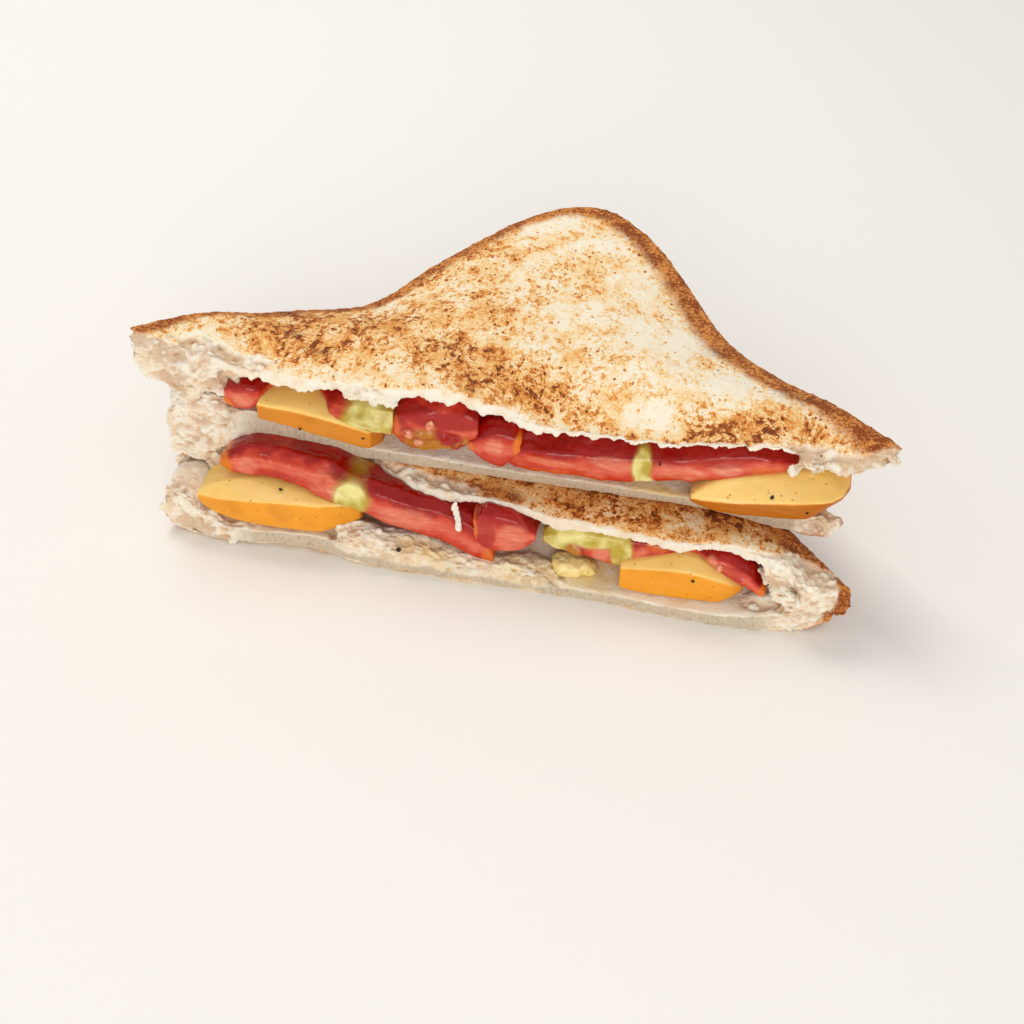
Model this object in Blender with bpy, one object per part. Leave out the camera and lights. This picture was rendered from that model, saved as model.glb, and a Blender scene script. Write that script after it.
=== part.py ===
"""Toasted cheese and tomato sandwich, cut corner to corner and stacked.

Two square slices of white bread hold cheese and tomato. The sandwich is cut on
the diagonal and the two halves are stacked with both cut faces to the front.
X runs along the cut, Y goes back from the cut face, Z is up. Dimensions below
are millimetres and are turned into metres when a solid is laid down.
"""
import math

import bmesh
import bpy
from mathutils import Vector

for leftover in list(bpy.data.objects):
    bpy.data.objects.remove(leftover, do_unlink=True)

MM = 0.001
GAP = 0.4             # clearance left between two solids that lie on each other
SMOOTH = 0.6          # how softly one bread face gives way to the one above it

# ---- lower half: both slices --------------------------------------------------
LOWER_LEFT, LOWER_RIGHT, LOWER_DEPTH = 77.0, 76.0, 76.0
LOWER_SKEW = 3.0                      # apex sits this far right of the cut's middle
LOWER_TOP_LEFT, LOWER_TOP_RIGHT, LOWER_TOP_DEPTH = 78.0, 78.5, 77.0
LOWER_TOP_TURN = -5.0                 # degrees the top slice is turned on the bottom one

# ---- upper half: both slices --------------------------------------------------
UPPER_BOTTOM_LEFT, UPPER_BOTTOM_RIGHT, UPPER_BOTTOM_DEPTH = 78.0, 72.0, 78.0
UPPER_TOP_LEFT, UPPER_TOP_RIGHT, UPPER_TOP_DEPTH = 84.5, 83.5, 84.0
UPPER_SKEW = 8.0

# ---- bread thickness: at the crust, in the middle ------------------------------
CRUST_THICK = 8.5
CRUMB_THICK = 6.5
CUT_REACH = 18.0      # depth over which the squashed cut edge grows to full height

# ---- how far the fillings reach in from the cut ---------------------------------
CHEESE_REACH = 34.0
TOMATO_REACH = 36.0


def along(x, stations):
    """Value at x of a smooth curve through (position, value) stations."""
    if x <= stations[0][0]:
        return stations[0][1]
    for (x0, v0), (x1, v1) in zip(stations, stations[1:]):
        if x <= x1:
            t = (x - x0) / (x1 - x0)
            t = t * t * (3.0 - 2.0 * t)
            return v0 + (v1 - v0) * t
    return stations[-1][1]


def ease(t):
    """0 to 1 with level ends."""
    t = min(1.0, max(0.0, t))
    return t * t * (3.0 - 2.0 * t)


def soft_min(a, b, k=SMOOTH):
    """The lower of two heights, with a rounded change-over."""
    low = min(a, b)
    return low - k * math.log(math.exp((low - a) / k) + math.exp((low - b) / k))


class Outline:
    """Plan of a half slice: a cut edge and two waisted crust legs to an apex."""

    def __init__(self, left, right, depth, centre, turn=0.0, skew=0.0,
                 ears=(1.08, 1.02), waists=((0.12, 138.0, 24.0), (0.115, 38.0, 27.0)),
                 front=((0.0, 0.0),)):
        self.left, self.right, self.depth = left, right, depth
        self.cx, self.cy = centre
        self.turn, self.skew = math.radians(turn), skew
        self.ears, self.waists, self.front = ears, waists, front

    def reach(self, ang):
        """Unit radius of the crust at an angle from the right tip."""
        c, s = abs(math.cos(ang)), max(0.0, math.sin(ang))
        ear = self.ears[0] if math.cos(ang) < 0 else self.ears[1]
        ear = 1.06 + (ear - 1.06) * abs(math.cos(ang)) ** 2
        legs = ear / (c + s)
        for depth, at, width in self.waists:
            legs *= 1.0 - depth * math.exp(-((math.degrees(ang) - at) / width) ** 2)
        q = 11.0
        return (legs ** -q + 1.0) ** (-1.0 / q) / ((ear ** -q + 1.0) ** (-1.0 / q))

    def place(self, ex, ey):
        """Unit outline coordinates to plan millimetres."""
        x = ex * (self.left if ex < 0 else self.right) + self.skew * ey
        y = ey * self.depth
        c, s = math.cos(self.turn), math.sin(self.turn)
        return self.cx + x * c - y * s, self.cy + x * s + y * c

    def polar(self, x, y):
        """Angle in degrees and share of the way out to the crust."""
        c, s = math.cos(-self.turn), math.sin(-self.turn)
        dx, dy = x - self.cx, y - self.cy
        px, py = dx * c - dy * s, dx * s + dy * c
        ey = max(0.0, py / self.depth)
        ex = px - self.skew * ey
        ex /= self.left if ex < 0 else self.right
        ang = math.atan2(ey, ex)
        return math.degrees(ang), math.hypot(ex, ey) / self.reach(ang)

    def crust(self, u):
        """Point on the crust legs, left tip at 0 and right tip at 1."""
        ang = math.pi * (1.0 - u)
        r = self.reach(ang)
        return self.place(r * math.cos(ang), r * math.sin(ang))

    def edge_y(self, x):
        """How far back the cut edge runs at x."""
        return self.cy + (x - self.cx) * math.tan(self.turn) + along(x, self.front)

    def depth_at(self, x, share):
        """How far back a line at x runs before it is this close to the crust."""
        near, far = self.edge_y(x), self.edge_y(x) + 1.2 * self.depth
        for _ in range(24):
            y = (near + far) / 2.0
            if self.polar(x, y)[1] < share:
                near = y
            else:
                far = y
        return near

    def cut(self, u):
        """Point on the cut edge, left tip at 0 and right tip at 1."""
        x, y = self.place(-1.0 + 2.0 * u, 0.0)
        fade = ease(min(u, 1.0 - u) / 0.06)
        return x, y + along(x, self.front) * fade


LOWER_PLAN = Outline(LOWER_LEFT, LOWER_RIGHT, LOWER_DEPTH, (0.0, 3.5), skew=LOWER_SKEW,
                     ears=(1.04, 1.0),
                     front=((-70, -3.0), (-58, -3.0), (-45, -1.5), (-25, -3.5), (20, -3.5),
                            (50, -5.5), (66, -4.5)))
LOWER_TOP_PLAN = Outline(LOWER_TOP_LEFT, LOWER_TOP_RIGHT, LOWER_TOP_DEPTH, (0.0, 5.5),
                         turn=LOWER_TOP_TURN, skew=LOWER_SKEW, ears=(1.04, 1.0),
                         front=((-66, 5.0), (-60, 7.0), (-32, 6.0), (-19, 1.5), (-12, 0.5),
                                (0, 0.5), (12, -0.8), (30, -1.0), (43, -2.0), (47, 2.6),
                                (60, 2.6), (65, -2.5), (72, -1.5)))
UPPER_BOTTOM_PLAN = Outline(UPPER_BOTTOM_LEFT, UPPER_BOTTOM_RIGHT, UPPER_BOTTOM_DEPTH,
                            (0.0, 12.5), skew=UPPER_SKEW,
                            front=((-70, 0.5), (-58, 1.8), (-28, 1.0), (0, 1.0), (40, 0.5)))
UPPER_TOP_PLAN = Outline(UPPER_TOP_LEFT, UPPER_TOP_RIGHT, UPPER_TOP_DEPTH, (0.0, 14.0),
                         skew=UPPER_SKEW,
                         front=((-75, -1.0), (-50, -1.5), (-10, -2.0), (10, -3.0), (45, -3.0),
                                (60, -2.0), (70, -2.5), (78, -1.0)))


def layered(plan, x, y, cut, middle, crust):
    """Height blended from a cut-edge curve, a middle value and a crust curve."""
    ang, share = plan.polar(x, y)
    near_cut = 1.0 - ease((y - plan.cy) / CUT_REACH)
    start = 0.55 + 0.25 * near_cut
    near_crust = ease((share - start) / (1.0 - start))
    inside = along(x, cut) * near_cut + middle * (1.0 - near_cut)
    return inside * (1.0 - near_crust) + along(ang, crust) * near_crust


# ---- the eight bread faces, from the board up -------------------------------------
def lower_bottom_under(x, y):
    """Rests flat; the cut edge is lifted a little left of the middle."""
    lift = 1.6 * math.exp(-((x + 46.0) / 13.0) ** 2) * (1.0 - ease(y / 9.0))
    ang, share = LOWER_PLAN.polar(x, y)
    return lift + 1.2 * ease((share - 0.86) / 0.14)


def lower_top_over(x, y):
    return layered(LOWER_TOP_PLAN, x, y,
                   ((-78, 13.5), (-68, 17.8), (-56, 19.6), (-20, 19.9), (10, 20.0),
                    (30, 20.2), (46, 19.8), (60, 18.6), (70, 17.4), (79, 15.5)), 19.2,
                   ((0, 15.5), (20, 17.0), (45, 17.8), (90, 18.5), (135, 18.0),
                    (160, 17.0), (180, 13.5)))


def lower_top_under(x, y):
    thick = layered(LOWER_TOP_PLAN, x, y,
                    ((-78, 6.5), (-60, 4.0), (-30, 3.4), (5, 3.4), (14, 3.8), (24, 2.4),
                     (36, 2.4), (50, 2.4), (60, 3.2), (70, 7.0), (79, 8.0)), CRUMB_THICK,
                    ((0, 8.0), (25, CRUST_THICK), (155, CRUST_THICK), (180, 6.5)))
    return lower_top_over(x, y) - thick


def room_in_front(plan, x, y):
    """Free height above a face where it sticks out in front of the next slice."""
    return 14.0 * (1.0 - ease((y - plan.edge_y(x) + 4.4) / 3.0))


def lower_bottom_over(x, y):
    thick = layered(LOWER_PLAN, x, y,
                    ((-78, 12.5), (-70, 11.0), (-64, 5.8), (-50, 4.8), (-38, 5.4), (-20, 5.0),
                     (-2, 3.6), (16, 3.0), (33, 3.3), (47, 3.3), (59, 4.6), (68, 6.5),
                     (76, 7.5)),
                    CRUMB_THICK, ((0, 7.0), (25, CRUST_THICK), (155, CRUST_THICK), (180, 12.5)))
    base = max(0.0, lower_bottom_under(x, y) - 1.0)
    roof = lower_top_under(x, y) + room_in_front(LOWER_TOP_PLAN, x, y)
    return soft_min(base + thick, roof - GAP)


def upper_bottom_under(x, y):
    """Lies on the toasted face below; the apex lifts clear of it."""
    ang, share = UPPER_BOTTOM_PLAN.polar(x, y)
    lift = 3.0 * math.exp(-((ang - 90.0) / 22.0) ** 2) * ease((share - 0.6) / 0.4)
    lift += 2.4 * math.exp(-((x + 57.0) / 10.0) ** 2) * (1.0 - ease((y - 12.0) / 9.0))
    return lower_top_over(x, y) + GAP + lift


def upper_top_over(x, y):
    return layered(UPPER_TOP_PLAN, x, y,
                   ((-84, 46.5), (-76, 45.0), (-66, 44.0), (-59, 41.8), (-45, 40.6),
                    (-30, 41.2), (-20, 42.8), (-12, 43.0), (-4, 41.4), (3, 39.4), (11, 37.4),
                    (20, 37.2),
                    (36, 38.2), (50, 40.0), (58, 40.8), (64, 39.6), (70, 37.8), (77, 39.0),
                    (83, 43.0)), 42.5,
                   ((0, 43.0), (10, 41.0), (25, 38.5), (45, 37.5), (62, 39.0), (80, 43.5),
                    (90, 44.8), (100, 44.0), (118, 40.0), (140, 35.5), (158, 39.0),
                    (172, 45.0), (180, 46.5)))


def upper_top_under(x, y):
    thick = layered(UPPER_TOP_PLAN, x, y,
                    ((-84, 12.0), (-76, 14.0), (-67, 10.0), (-60, 2.8), (-38, 3.6), (-26, 3.6), (-18, 2.6),
                     (-6, 2.8), (4, 3.6), (14, 2.6), (22, 3.0), (30, 1.8), (60, 1.6),
                     (70, 3.6), (83, 7.0)), CRUMB_THICK + 0.5,
                    ((0, 7.0), (20, CRUST_THICK), (70, CRUST_THICK), (90, 11.0),
                     (110, CRUST_THICK), (160, CRUST_THICK), (180, 13.0)))
    return upper_top_over(x, y) - thick


def upper_bottom_over(x, y):
    thick = layered(UPPER_BOTTOM_PLAN, x, y,
                    ((-78, 13.5), (-70, 12.5), (-61, 10.0), (-54, 7.5), (-45, 5.6), (-28, 3.3),
                     (0, 2.6),
                     (41, 2.6), (54, 3.6), (64, 4.6), (74, 7.0)), CRUMB_THICK,
                    ((0, 7.5), (20, CRUST_THICK), (158, CRUST_THICK), (180, 13.5)))
    return soft_min(upper_bottom_under(x, y) + thick, upper_top_under(x, y) - GAP)


# ---- building one solid -------------------------------------------------------------
def lay_solid(name, front, back, under, over, across, deep, rim=(0.6, 0.6, 0.6), flare=0.0,
              crowd=1.0):
    """Grid between a front and a back edge, thickened between two height faces.

    rim is how far the top and bottom edges sit in from the widest line at the
    front, the back and the two ends. flare pulls the underside in further, and a
    crowd above 1 draws the rows together towards the front.
    """
    bm = bmesh.new()
    bmesh.ops.create_grid(bm, x_segments=across, y_segments=deep, size=1.0)
    extruded = bmesh.ops.extrude_face_region(bm, geom=bm.faces[:])
    lifted = [g for g in extruded["geom"] if isinstance(g, bmesh.types.BMVert)]
    bmesh.ops.translate(bm, vec=Vector((0, 0, 2)), verts=lifted)
    posts = [e for e in bm.edges if abs(e.verts[0].co.z - e.verts[1].co.z) > 1.0]
    bmesh.ops.subdivide_edges(bm, edges=posts, cuts=1, use_grid_fill=True)
    for v in bm.verts:
        u, w, layer = (v.co.x + 1) / 2, ((v.co.y + 1) / 2) ** crowd, round(v.co.z)
        if layer != 1:
            fx, fy = front(u)
            bx, by = back(u)
            span = math.hypot(bx - fx, by - fy) + 1e-6
            pull = 1.0 + (flare if layer == 0 else 0.0)
            at_front = min(0.3, rim[0] * pull / span)
            at_back = min(0.3, rim[1] * pull / span)
            w = at_front + w * (1.0 - at_front - at_back)
            wide = math.hypot(front(1.0)[0] - front(0.0)[0], front(1.0)[1] - front(0.0)[1])
            at_end = rim[2] * pull / wide
            u = at_end + u * (1.0 - 2.0 * at_end)
        (fx, fy), (bx, by) = front(u), back(u)
        x, y = fx + (bx - fx) * w, fy + (by - fy) * w
        low, high = under(x, y), over(x, y)
        z = (low, (low + high) / 2.0, high)[layer]
        v.co = Vector((x, y, z)) * MM
    bmesh.ops.remove_doubles(bm, verts=bm.verts[:], dist=0.00002)
    bmesh.ops.recalc_face_normals(bm, faces=bm.faces[:])
    bmesh.ops.triangulate(bm, faces=bm.faces[:], quad_method="SHORT_EDGE")
    mesh = bpy.data.meshes.new(name)
    bm.to_mesh(mesh)
    bm.free()
    return bpy.data.objects.new(name, mesh)


def bread(name, plan, under, over, flare=0.0):
    """One half slice of bread."""
    return lay_solid(name, plan.cut, plan.crust, under, over, 29, 8,
                     rim=(0.15, 2.2, 1.2), flare=flare, crowd=1.45)


def filling(name, plan, left, right, front, reach, under, over, rim, across=11, deep=4,
            blunt=0.35, close=0.78):
    """A slab of filling from the cut face inwards, stopping short of the crust.

    Its ends close from full depth at `blunt` of the way along, and `reach` is how
    far back it goes where the crust is not in its way.
    """
    def back(x):
        return max(along(x, front) + 4.0, min(reach, plan.depth_at(x, close) - 3.0))

    def edge(u, is_back):
        x = left + (right - left) * u
        near = min(u, 1.0 - u) / blunt
        near = 1.0 if near >= 1.0 else math.sqrt(max(0.0, 1.0 - (1.0 - near) ** 2))
        y0, y1 = along(x, front), back(x)
        mid = (y0 + y1) / 2.0
        y = y1 if is_back else y0
        return x, mid + (y - mid) * (0.45 + 0.55 * near)

    return lay_solid(name, lambda u: edge(u, False), lambda u: edge(u, True),
                     under, over, across, deep, rim=rim)


def above(face, extra=0.0):
    """A height face lying just clear on top of another."""
    return lambda x, y: face(x, y) + GAP + extra


def below(face, roof, plan, extra=0.0):
    """A height face kept clear below a slice, and free to rise in front of it."""
    def height(x, y):
        free = room_in_front(plan, x, y)
        return soft_min(face(x, y), roof(x, y) + free - GAP - extra)
    return height


def under_lower_top(face, extra=0.0):
    return below(face, lower_top_under, LOWER_TOP_PLAN, extra)


def under_upper_top(face, extra=0.0):
    return below(face, upper_top_under, UPPER_TOP_PLAN, extra)


def shared(floor, roof, part, x, y):
    """Height that leaves `part` of the space between two slices below it."""
    low = floor(x, y)
    return low + part * (roof(x, y) - low)


# ---- fillings of the lower half ---------------------------------------------------
def lower_cheese_left_over(x, y):
    floor = lower_bottom_over(x, y) + GAP + 2.0
    front = along(x, ((-68, 13.6), (-62, 15.2), (-50, 15.8), (-38, 15.0), (-33, 14.0)))
    inner = shared(lower_bottom_over, lower_top_under, 0.45, x, y)
    back = ease((y - 5.0) / 8.0)
    return max(floor, front * (1.0 - back) + inner * back)


def lower_tomato_left_under(x, y):
    drop = ease((x + 32.2) / 5.5)
    front = along(x, ((-33, 11.5), (-22, 8.0), (-12, 6.0), (-3, 4.6), (4, 4.6)))
    direct = max(front, lower_bottom_over(x, y) + GAP)
    inner = shared(lower_bottom_over, lower_top_under, 0.2, x, y)
    back = ease((y - 7.0) / 6.0)
    direct = direct * (1.0 - back) + max(inner, lower_bottom_over(x, y) + GAP) * back
    return (lower_cheese_left_over(x, y) + GAP + 0.5) * (1.0 - drop) + direct * drop


def lower_tomato_left_over(x, y):
    front = along(x, ((-62, 21.4), (-50, 22.4), (-43, 22.0), (-34, 20.4), (-26, 18.4),
                      (-17, 16.9), (-10, 15.6), (2, 11.0)))
    return front - 2.8 * ease((y - 8.5) / 3.6)


def lower_cheese_right_over(x, y):
    front = along(x, ((27, 12.6), (34, 13.6), (43, 14.2), (50, 12.8), (56, 10.4)))
    return front - 1.4 * ease((y - 3.5) / 5.0)


def lower_tomato_right_under(x, y):
    """Lies on the bread, and climbs over the right end of the cheese."""
    rest = along(x, ((8, 11.4), (18, 9.0), (25, 6.0), (32, 6.5), (50, 7.5), (58, 8.6)))
    back = ease((y - 10.0) / 8.0)
    inner = shared(lower_bottom_over, lower_top_under, 0.25, x, y)
    lying = max(rest * (1 - back) + inner * back, lower_bottom_over(x, y) + GAP)
    climb = ease((x - 40.0) / 4.0) * (1.0 - ease((x - 56.6) / 2.0))
    climb *= 1.0 - ease((y - 11.0) / 3.0)
    return lying * (1 - climb) + (lower_cheese_right_over(x, y) + GAP + 0.6) * climb


def lower_tomato_right_over(x, y):
    return along(x, ((8, 15.8), (22, 16.6), (32, 16.4), (45, 17.4), (54, 18.0), (60, 13.6)))


# ---- fillings of the upper half ---------------------------------------------------
def upper_cheese_left_over(x, y):
    front = along(x, ((-54, 34.4), (-46, 33.8), (-36, 31.8), (-25, 30.2)))
    inner = shared(upper_bottom_over, upper_top_under, 0.5, x, y)
    back = ease((y - 13.0) / 9.0)
    return front * (1.0 - back) + inner * back


def upper_tomato_left_under(x, y):
    mix = ease((x + 60.0) / 5.0)
    aside = along(x, ((-62, 30.4), (-56, 31.4), (-54, 33.0)))
    cheese = upper_cheese_left_over(x, y) + GAP
    return aside * (1 - mix) + cheese * mix


def upper_tomato_left_over(x, y):
    return along(x, ((-62, 38.4), (-54, 38.6), (-46, 37.2), (-36, 37.0), (-30, 36.6),
                     (-24, 35.0)))


def upper_cheese_right_over(x, y):
    front = along(x, ((41, 29.0), (46, 31.2), (56, 32.8), (66, 32.6), (74, 32.0)))
    inner = shared(upper_bottom_over, upper_top_under, 0.5, x, y)
    back = ease((y - 12.0) / 9.0)
    return front * (1.0 - back) + inner * back


def upper_tomato_right_under(x, y):
    lying = along(x, ((7, 25.2), (22, 26.0), (34, 27.2), (40, 28.6)))
    lying = max(lying, upper_bottom_over(x, y) + GAP)
    mix = ease((x - 36.0) / 6.0)
    return lying * (1 - mix) + (upper_cheese_right_over(x, y) + GAP) * mix


def upper_tomato_right_over(x, y):
    return along(x, ((7, 34.4), (20, 34.6), (40, 37.0), (56, 39.4), (66, 37.4), (72, 36.0)))


def build_solids():
    """Every slice and piece of filling, from the board up."""
    return [
        bread("lower_bottom_bread", LOWER_PLAN, lower_bottom_under, lower_bottom_over),
        bread("lower_top_bread", LOWER_TOP_PLAN, lower_top_under, lower_top_over),
        bread("upper_bottom_bread", UPPER_BOTTOM_PLAN, upper_bottom_under,
              upper_bottom_over),
        bread("upper_top_bread", UPPER_TOP_PLAN, upper_top_under, upper_top_over,
              flare=1.4),
        filling("lower_cheese_left", LOWER_TOP_PLAN, -68.0, -33.0,
                ((-68, 3.2), (-60, 1.8), (-40, 1.6), (-33, 3.0)), CHEESE_REACH,
                above(lower_bottom_over, 0.3), under_lower_top(lower_cheese_left_over, 1.4),
                (1.0, 1.0, 0.8), close=0.66),
        filling("lower_cheese_right", LOWER_TOP_PLAN, 27.5, 56.0,
                ((27, 1.6), (40, 0.8), (52, 1.0), (56, 2.0)), 9.4,
                above(lower_bottom_over),
                under_lower_top(lower_cheese_right_over),
                (1.0, 1.0, 0.8)),
        filling("lower_tomato_left", LOWER_TOP_PLAN, -63.0, -3.0,
                ((-63, 7.0), (-50, 4.6), (-30, 4.2), (-10, 3.8), (-3, 5.0)), TOMATO_REACH,
                lower_tomato_left_under, under_lower_top(lower_tomato_left_over, 0.6),
                (1.2, 1.4, 1.2), across=20, deep=6, blunt=0.22, close=0.64),
        filling("lower_tomato_chunk", LOWER_TOP_PLAN, -2.6, 9.4,
                ((-3, 4.4), (4, 3.4), (10, 4.6)), 16.0, above(lower_bottom_over, 1.0),
                under_lower_top(lambda x, y: along(x, ((-3, 15.4), (2, 16.6), (9, 16.0))), 0.2),
                (1.6, 1.6, 1.2), across=6, deep=4, blunt=0.5),
        filling("lower_cheese_scrap", LOWER_TOP_PLAN, 12.4, 23.0,
                ((12, 2.4), (18, 1.4), (23, 2.6)), 8.4, above(lower_bottom_over),
                lambda x, y: max(lower_bottom_over(x, y) + 2.2, along(
                    x, ((12, 7.0), (16, 8.2), (20, 7.4), (23, 5.6)))),
                (1.2, 1.2, 1.0), across=6, deep=4, blunt=0.5),
        filling("lower_tomato_right", LOWER_TOP_PLAN, 9.9, 60.4,
                ((10, 4.6), (24, 5.0), (28, 10.6), (45, 10.6), (50, 2.6), (54, -0.4),
                 (60, 0.4), (62, 2.0)),
                TOMATO_REACH, lower_tomato_right_under,
                under_lower_top(lower_tomato_right_over, 0.6),
                (1.0, 1.4, 0.8), across=22, deep=5, blunt=0.1, close=0.7),
        filling("upper_cheese_left", UPPER_BOTTOM_PLAN, -54.5, -25.0,
                ((-54, 11.0), (-45, 10.0), (-30, 10.4), (-25, 12.0)), CHEESE_REACH + 12.0,
                above(upper_bottom_over), under_upper_top(upper_cheese_left_over, 1.8),
                (1.0, 1.0, 0.8), deep=5),
        filling("upper_cheese_right", UPPER_BOTTOM_PLAN, 41.0, 74.0,
                ((41, 10.0), (50, 8.2), (64, 8.6), (74, 11.0)), CHEESE_REACH + 12.0,
                above(upper_bottom_over), under_upper_top(upper_cheese_right_over, 1.6),
                (1.2, 1.2, 1.0), deep=5),
        filling("upper_tomato_left", UPPER_BOTTOM_PLAN, -61.4, -25.6,
                ((-62, 12.0), (-52, 11.6), (-36, 12.0), (-25, 12.8)), TOMATO_REACH + 12.0,
                upper_tomato_left_under, under_upper_top(upper_tomato_left_over, 0.7),
                (0.8, 1.2, 1.0), across=14, deep=6, blunt=0.2, close=0.72),
        filling("upper_tomato_middle", UPPER_BOTTOM_PLAN, -24.8, -6.6,
                ((-25, 13.2), (-16, 12.4), (-7, 13.4)), 44.0,
                above(upper_bottom_over, 1.0),
                under_upper_top(lambda x, y: along(x, ((-25, 39.4), (-16, 40.2), (-7, 38.2))), 0.5),
                (1.2, 1.4, 1.0), across=9, deep=6, blunt=0.3, close=0.72),
        filling("upper_tomato_chunk", UPPER_BOTTOM_PLAN, -5.8, 6.0,
                ((-6, 12.2), (0, 11.4), (6, 12.2)), 26.0, above(upper_bottom_over, 1.0),
                under_upper_top(lambda x, y: along(x, ((-6, 33.0), (0, 32.6), (6, 30.6)))),
                (1.4, 1.4, 1.2), across=6, deep=4, blunt=0.5),
        filling("upper_tomato_right", UPPER_BOTTOM_PLAN, 6.8, 70.0,
                ((7, 13.4), (20, 12.4), (40, 11.6), (60, 11.0), (70, 12.4)),
                TOMATO_REACH + 12.0, upper_tomato_right_under,
                under_upper_top(upper_tomato_right_over, 0.3),
                (0.8, 1.4, 1.2), across=20, deep=6, blunt=0.16, close=0.7),
    ]


# ---- what each solid is made of ------------------------------------------------------
LOOKS = {
    "bread": ((0.90, 0.80, 0.62, 1.0), 0.85),
    "cheese": ((0.93, 0.62, 0.18, 1.0), 0.45),
    "tomato": ((0.78, 0.17, 0.10, 1.0), 0.30),
}


def material_for(node):
    """A material of the node's own, coloured by its food."""
    food = next(key for key in LOOKS if key in node)
    colour, rough = LOOKS[food]
    mat = bpy.data.materials.new("mat_" + node)
    mat.use_nodes = True
    shader = mat.node_tree.nodes["Principled BSDF"]
    shader.inputs["Base Color"].default_value = colour
    shader.inputs["Roughness"].default_value = rough
    mat.diffuse_color = colour
    return mat


def main():
    """Centre the stack over the origin, give each solid its own place and material."""
    solids = build_solids()
    group = bpy.data.collections.new("toasted_cheese_tomato_sandwich")
    bpy.context.scene.collection.children.link(group)
    points = [v.co for ob in solids for v in ob.data.vertices]
    shift = Vector(((min(p.x for p in points) + max(p.x for p in points)) / 2,
                    (min(p.y for p in points) + max(p.y for p in points)) / 2,
                    min(p.z for p in points)))
    for ob in solids:
        own = [v.co for v in ob.data.vertices]
        middle = sum(own, Vector()) / len(own)
        for v in ob.data.vertices:
            v.co -= middle
        ob.location = middle - shift
        ob.data.materials.append(material_for(ob.name))
        group.objects.link(ob)


main()
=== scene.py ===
"""Looks of a toasted cheese and tomato sandwich, cut corner to corner and stacked.

Four half slices of toasted white bread, four slabs and a scrap of cheese and seven
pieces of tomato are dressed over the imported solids. X runs along the cut, Y goes
back from the cut faces and Z is up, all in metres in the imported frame.
"""
import logging
import math
from dataclasses import dataclass, field
from enum import Enum
from typing import Any, Optional, Sequence

import bmesh
import bpy
import numpy as np
from mathutils import Matrix, Vector
from mathutils.bvhtree import BVHTree


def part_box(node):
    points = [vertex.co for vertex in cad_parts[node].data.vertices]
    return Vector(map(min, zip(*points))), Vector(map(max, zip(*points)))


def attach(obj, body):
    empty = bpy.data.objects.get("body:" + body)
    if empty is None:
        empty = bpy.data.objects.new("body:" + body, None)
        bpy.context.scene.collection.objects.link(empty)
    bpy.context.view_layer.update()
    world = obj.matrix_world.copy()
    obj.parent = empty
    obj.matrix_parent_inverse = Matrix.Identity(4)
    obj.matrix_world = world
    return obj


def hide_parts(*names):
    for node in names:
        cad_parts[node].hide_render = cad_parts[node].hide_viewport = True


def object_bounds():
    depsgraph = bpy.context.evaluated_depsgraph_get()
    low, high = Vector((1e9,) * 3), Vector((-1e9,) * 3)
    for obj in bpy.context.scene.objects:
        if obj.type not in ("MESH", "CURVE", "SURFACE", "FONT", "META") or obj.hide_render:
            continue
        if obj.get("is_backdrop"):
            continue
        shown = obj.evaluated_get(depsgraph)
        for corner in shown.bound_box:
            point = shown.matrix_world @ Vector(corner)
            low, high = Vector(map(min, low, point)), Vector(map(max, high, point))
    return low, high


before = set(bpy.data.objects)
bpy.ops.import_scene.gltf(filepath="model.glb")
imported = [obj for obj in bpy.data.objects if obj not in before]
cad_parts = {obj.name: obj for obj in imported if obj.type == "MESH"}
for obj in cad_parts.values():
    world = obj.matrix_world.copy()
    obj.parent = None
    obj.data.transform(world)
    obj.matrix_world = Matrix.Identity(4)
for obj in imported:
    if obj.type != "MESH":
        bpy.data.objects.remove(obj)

LOG = logging.getLogger("sandwich")
MM = 0.001
BODY = "root"
Array = np.ndarray
Feed = Any                    # a node, one of its sockets, a plain value or a hex colour


# ---------------------------------------------------------------- plain helpers
def linear(hex_colour: str) -> tuple[float, float, float, float]:
    """Turn an sRGB hex colour into linear values for a shader socket.

    Args:
        hex_colour: Six hex digits, with or without a leading hash.

    Returns:
        Linear red, green, blue and an alpha of one.
    """
    digits = hex_colour.lstrip("#")
    values = []
    for at in (0, 2, 4):
        share = int(digits[at:at + 2], 16) / 255.0
        values.append(share / 12.92 if share <= 0.04045 else ((share + 0.055) / 1.055) ** 2.4)
    return values[0], values[1], values[2], 1.0


def step(values: Array, low: float, high: float) -> Array:
    """Smooth 0 to 1 as the values go from low to high, or back if high is below low."""
    share = np.clip((values - low) / (high - low), 0.0, 1.0)
    return share * share * (3.0 - 2.0 * share)


def hashed(ix: Array, iy: Array, iz: Array, seed: int) -> Array:
    """Repeatable 0 to 1 values for whole-number cells.

    Args:
        ix: Number of each cell along X.
        iy: The same along Y.
        iz: The same along Z.
        seed: Which set of values.

    Returns:
        One value for each cell.
    """
    mixed = (ix * 73856093) ^ (iy * 19349663) ^ (iz * 83492791) ^ (seed * 40503 + 977)
    mixed &= 0xFFFFFFFF
    for _ in range(2):
        mixed = ((mixed ^ (mixed >> 16)) * 0x45D9F3B) & 0xFFFFFFFF
    return ((mixed ^ (mixed >> 16)) & 0xFFFFFF) / float(0xFFFFFF)


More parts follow.
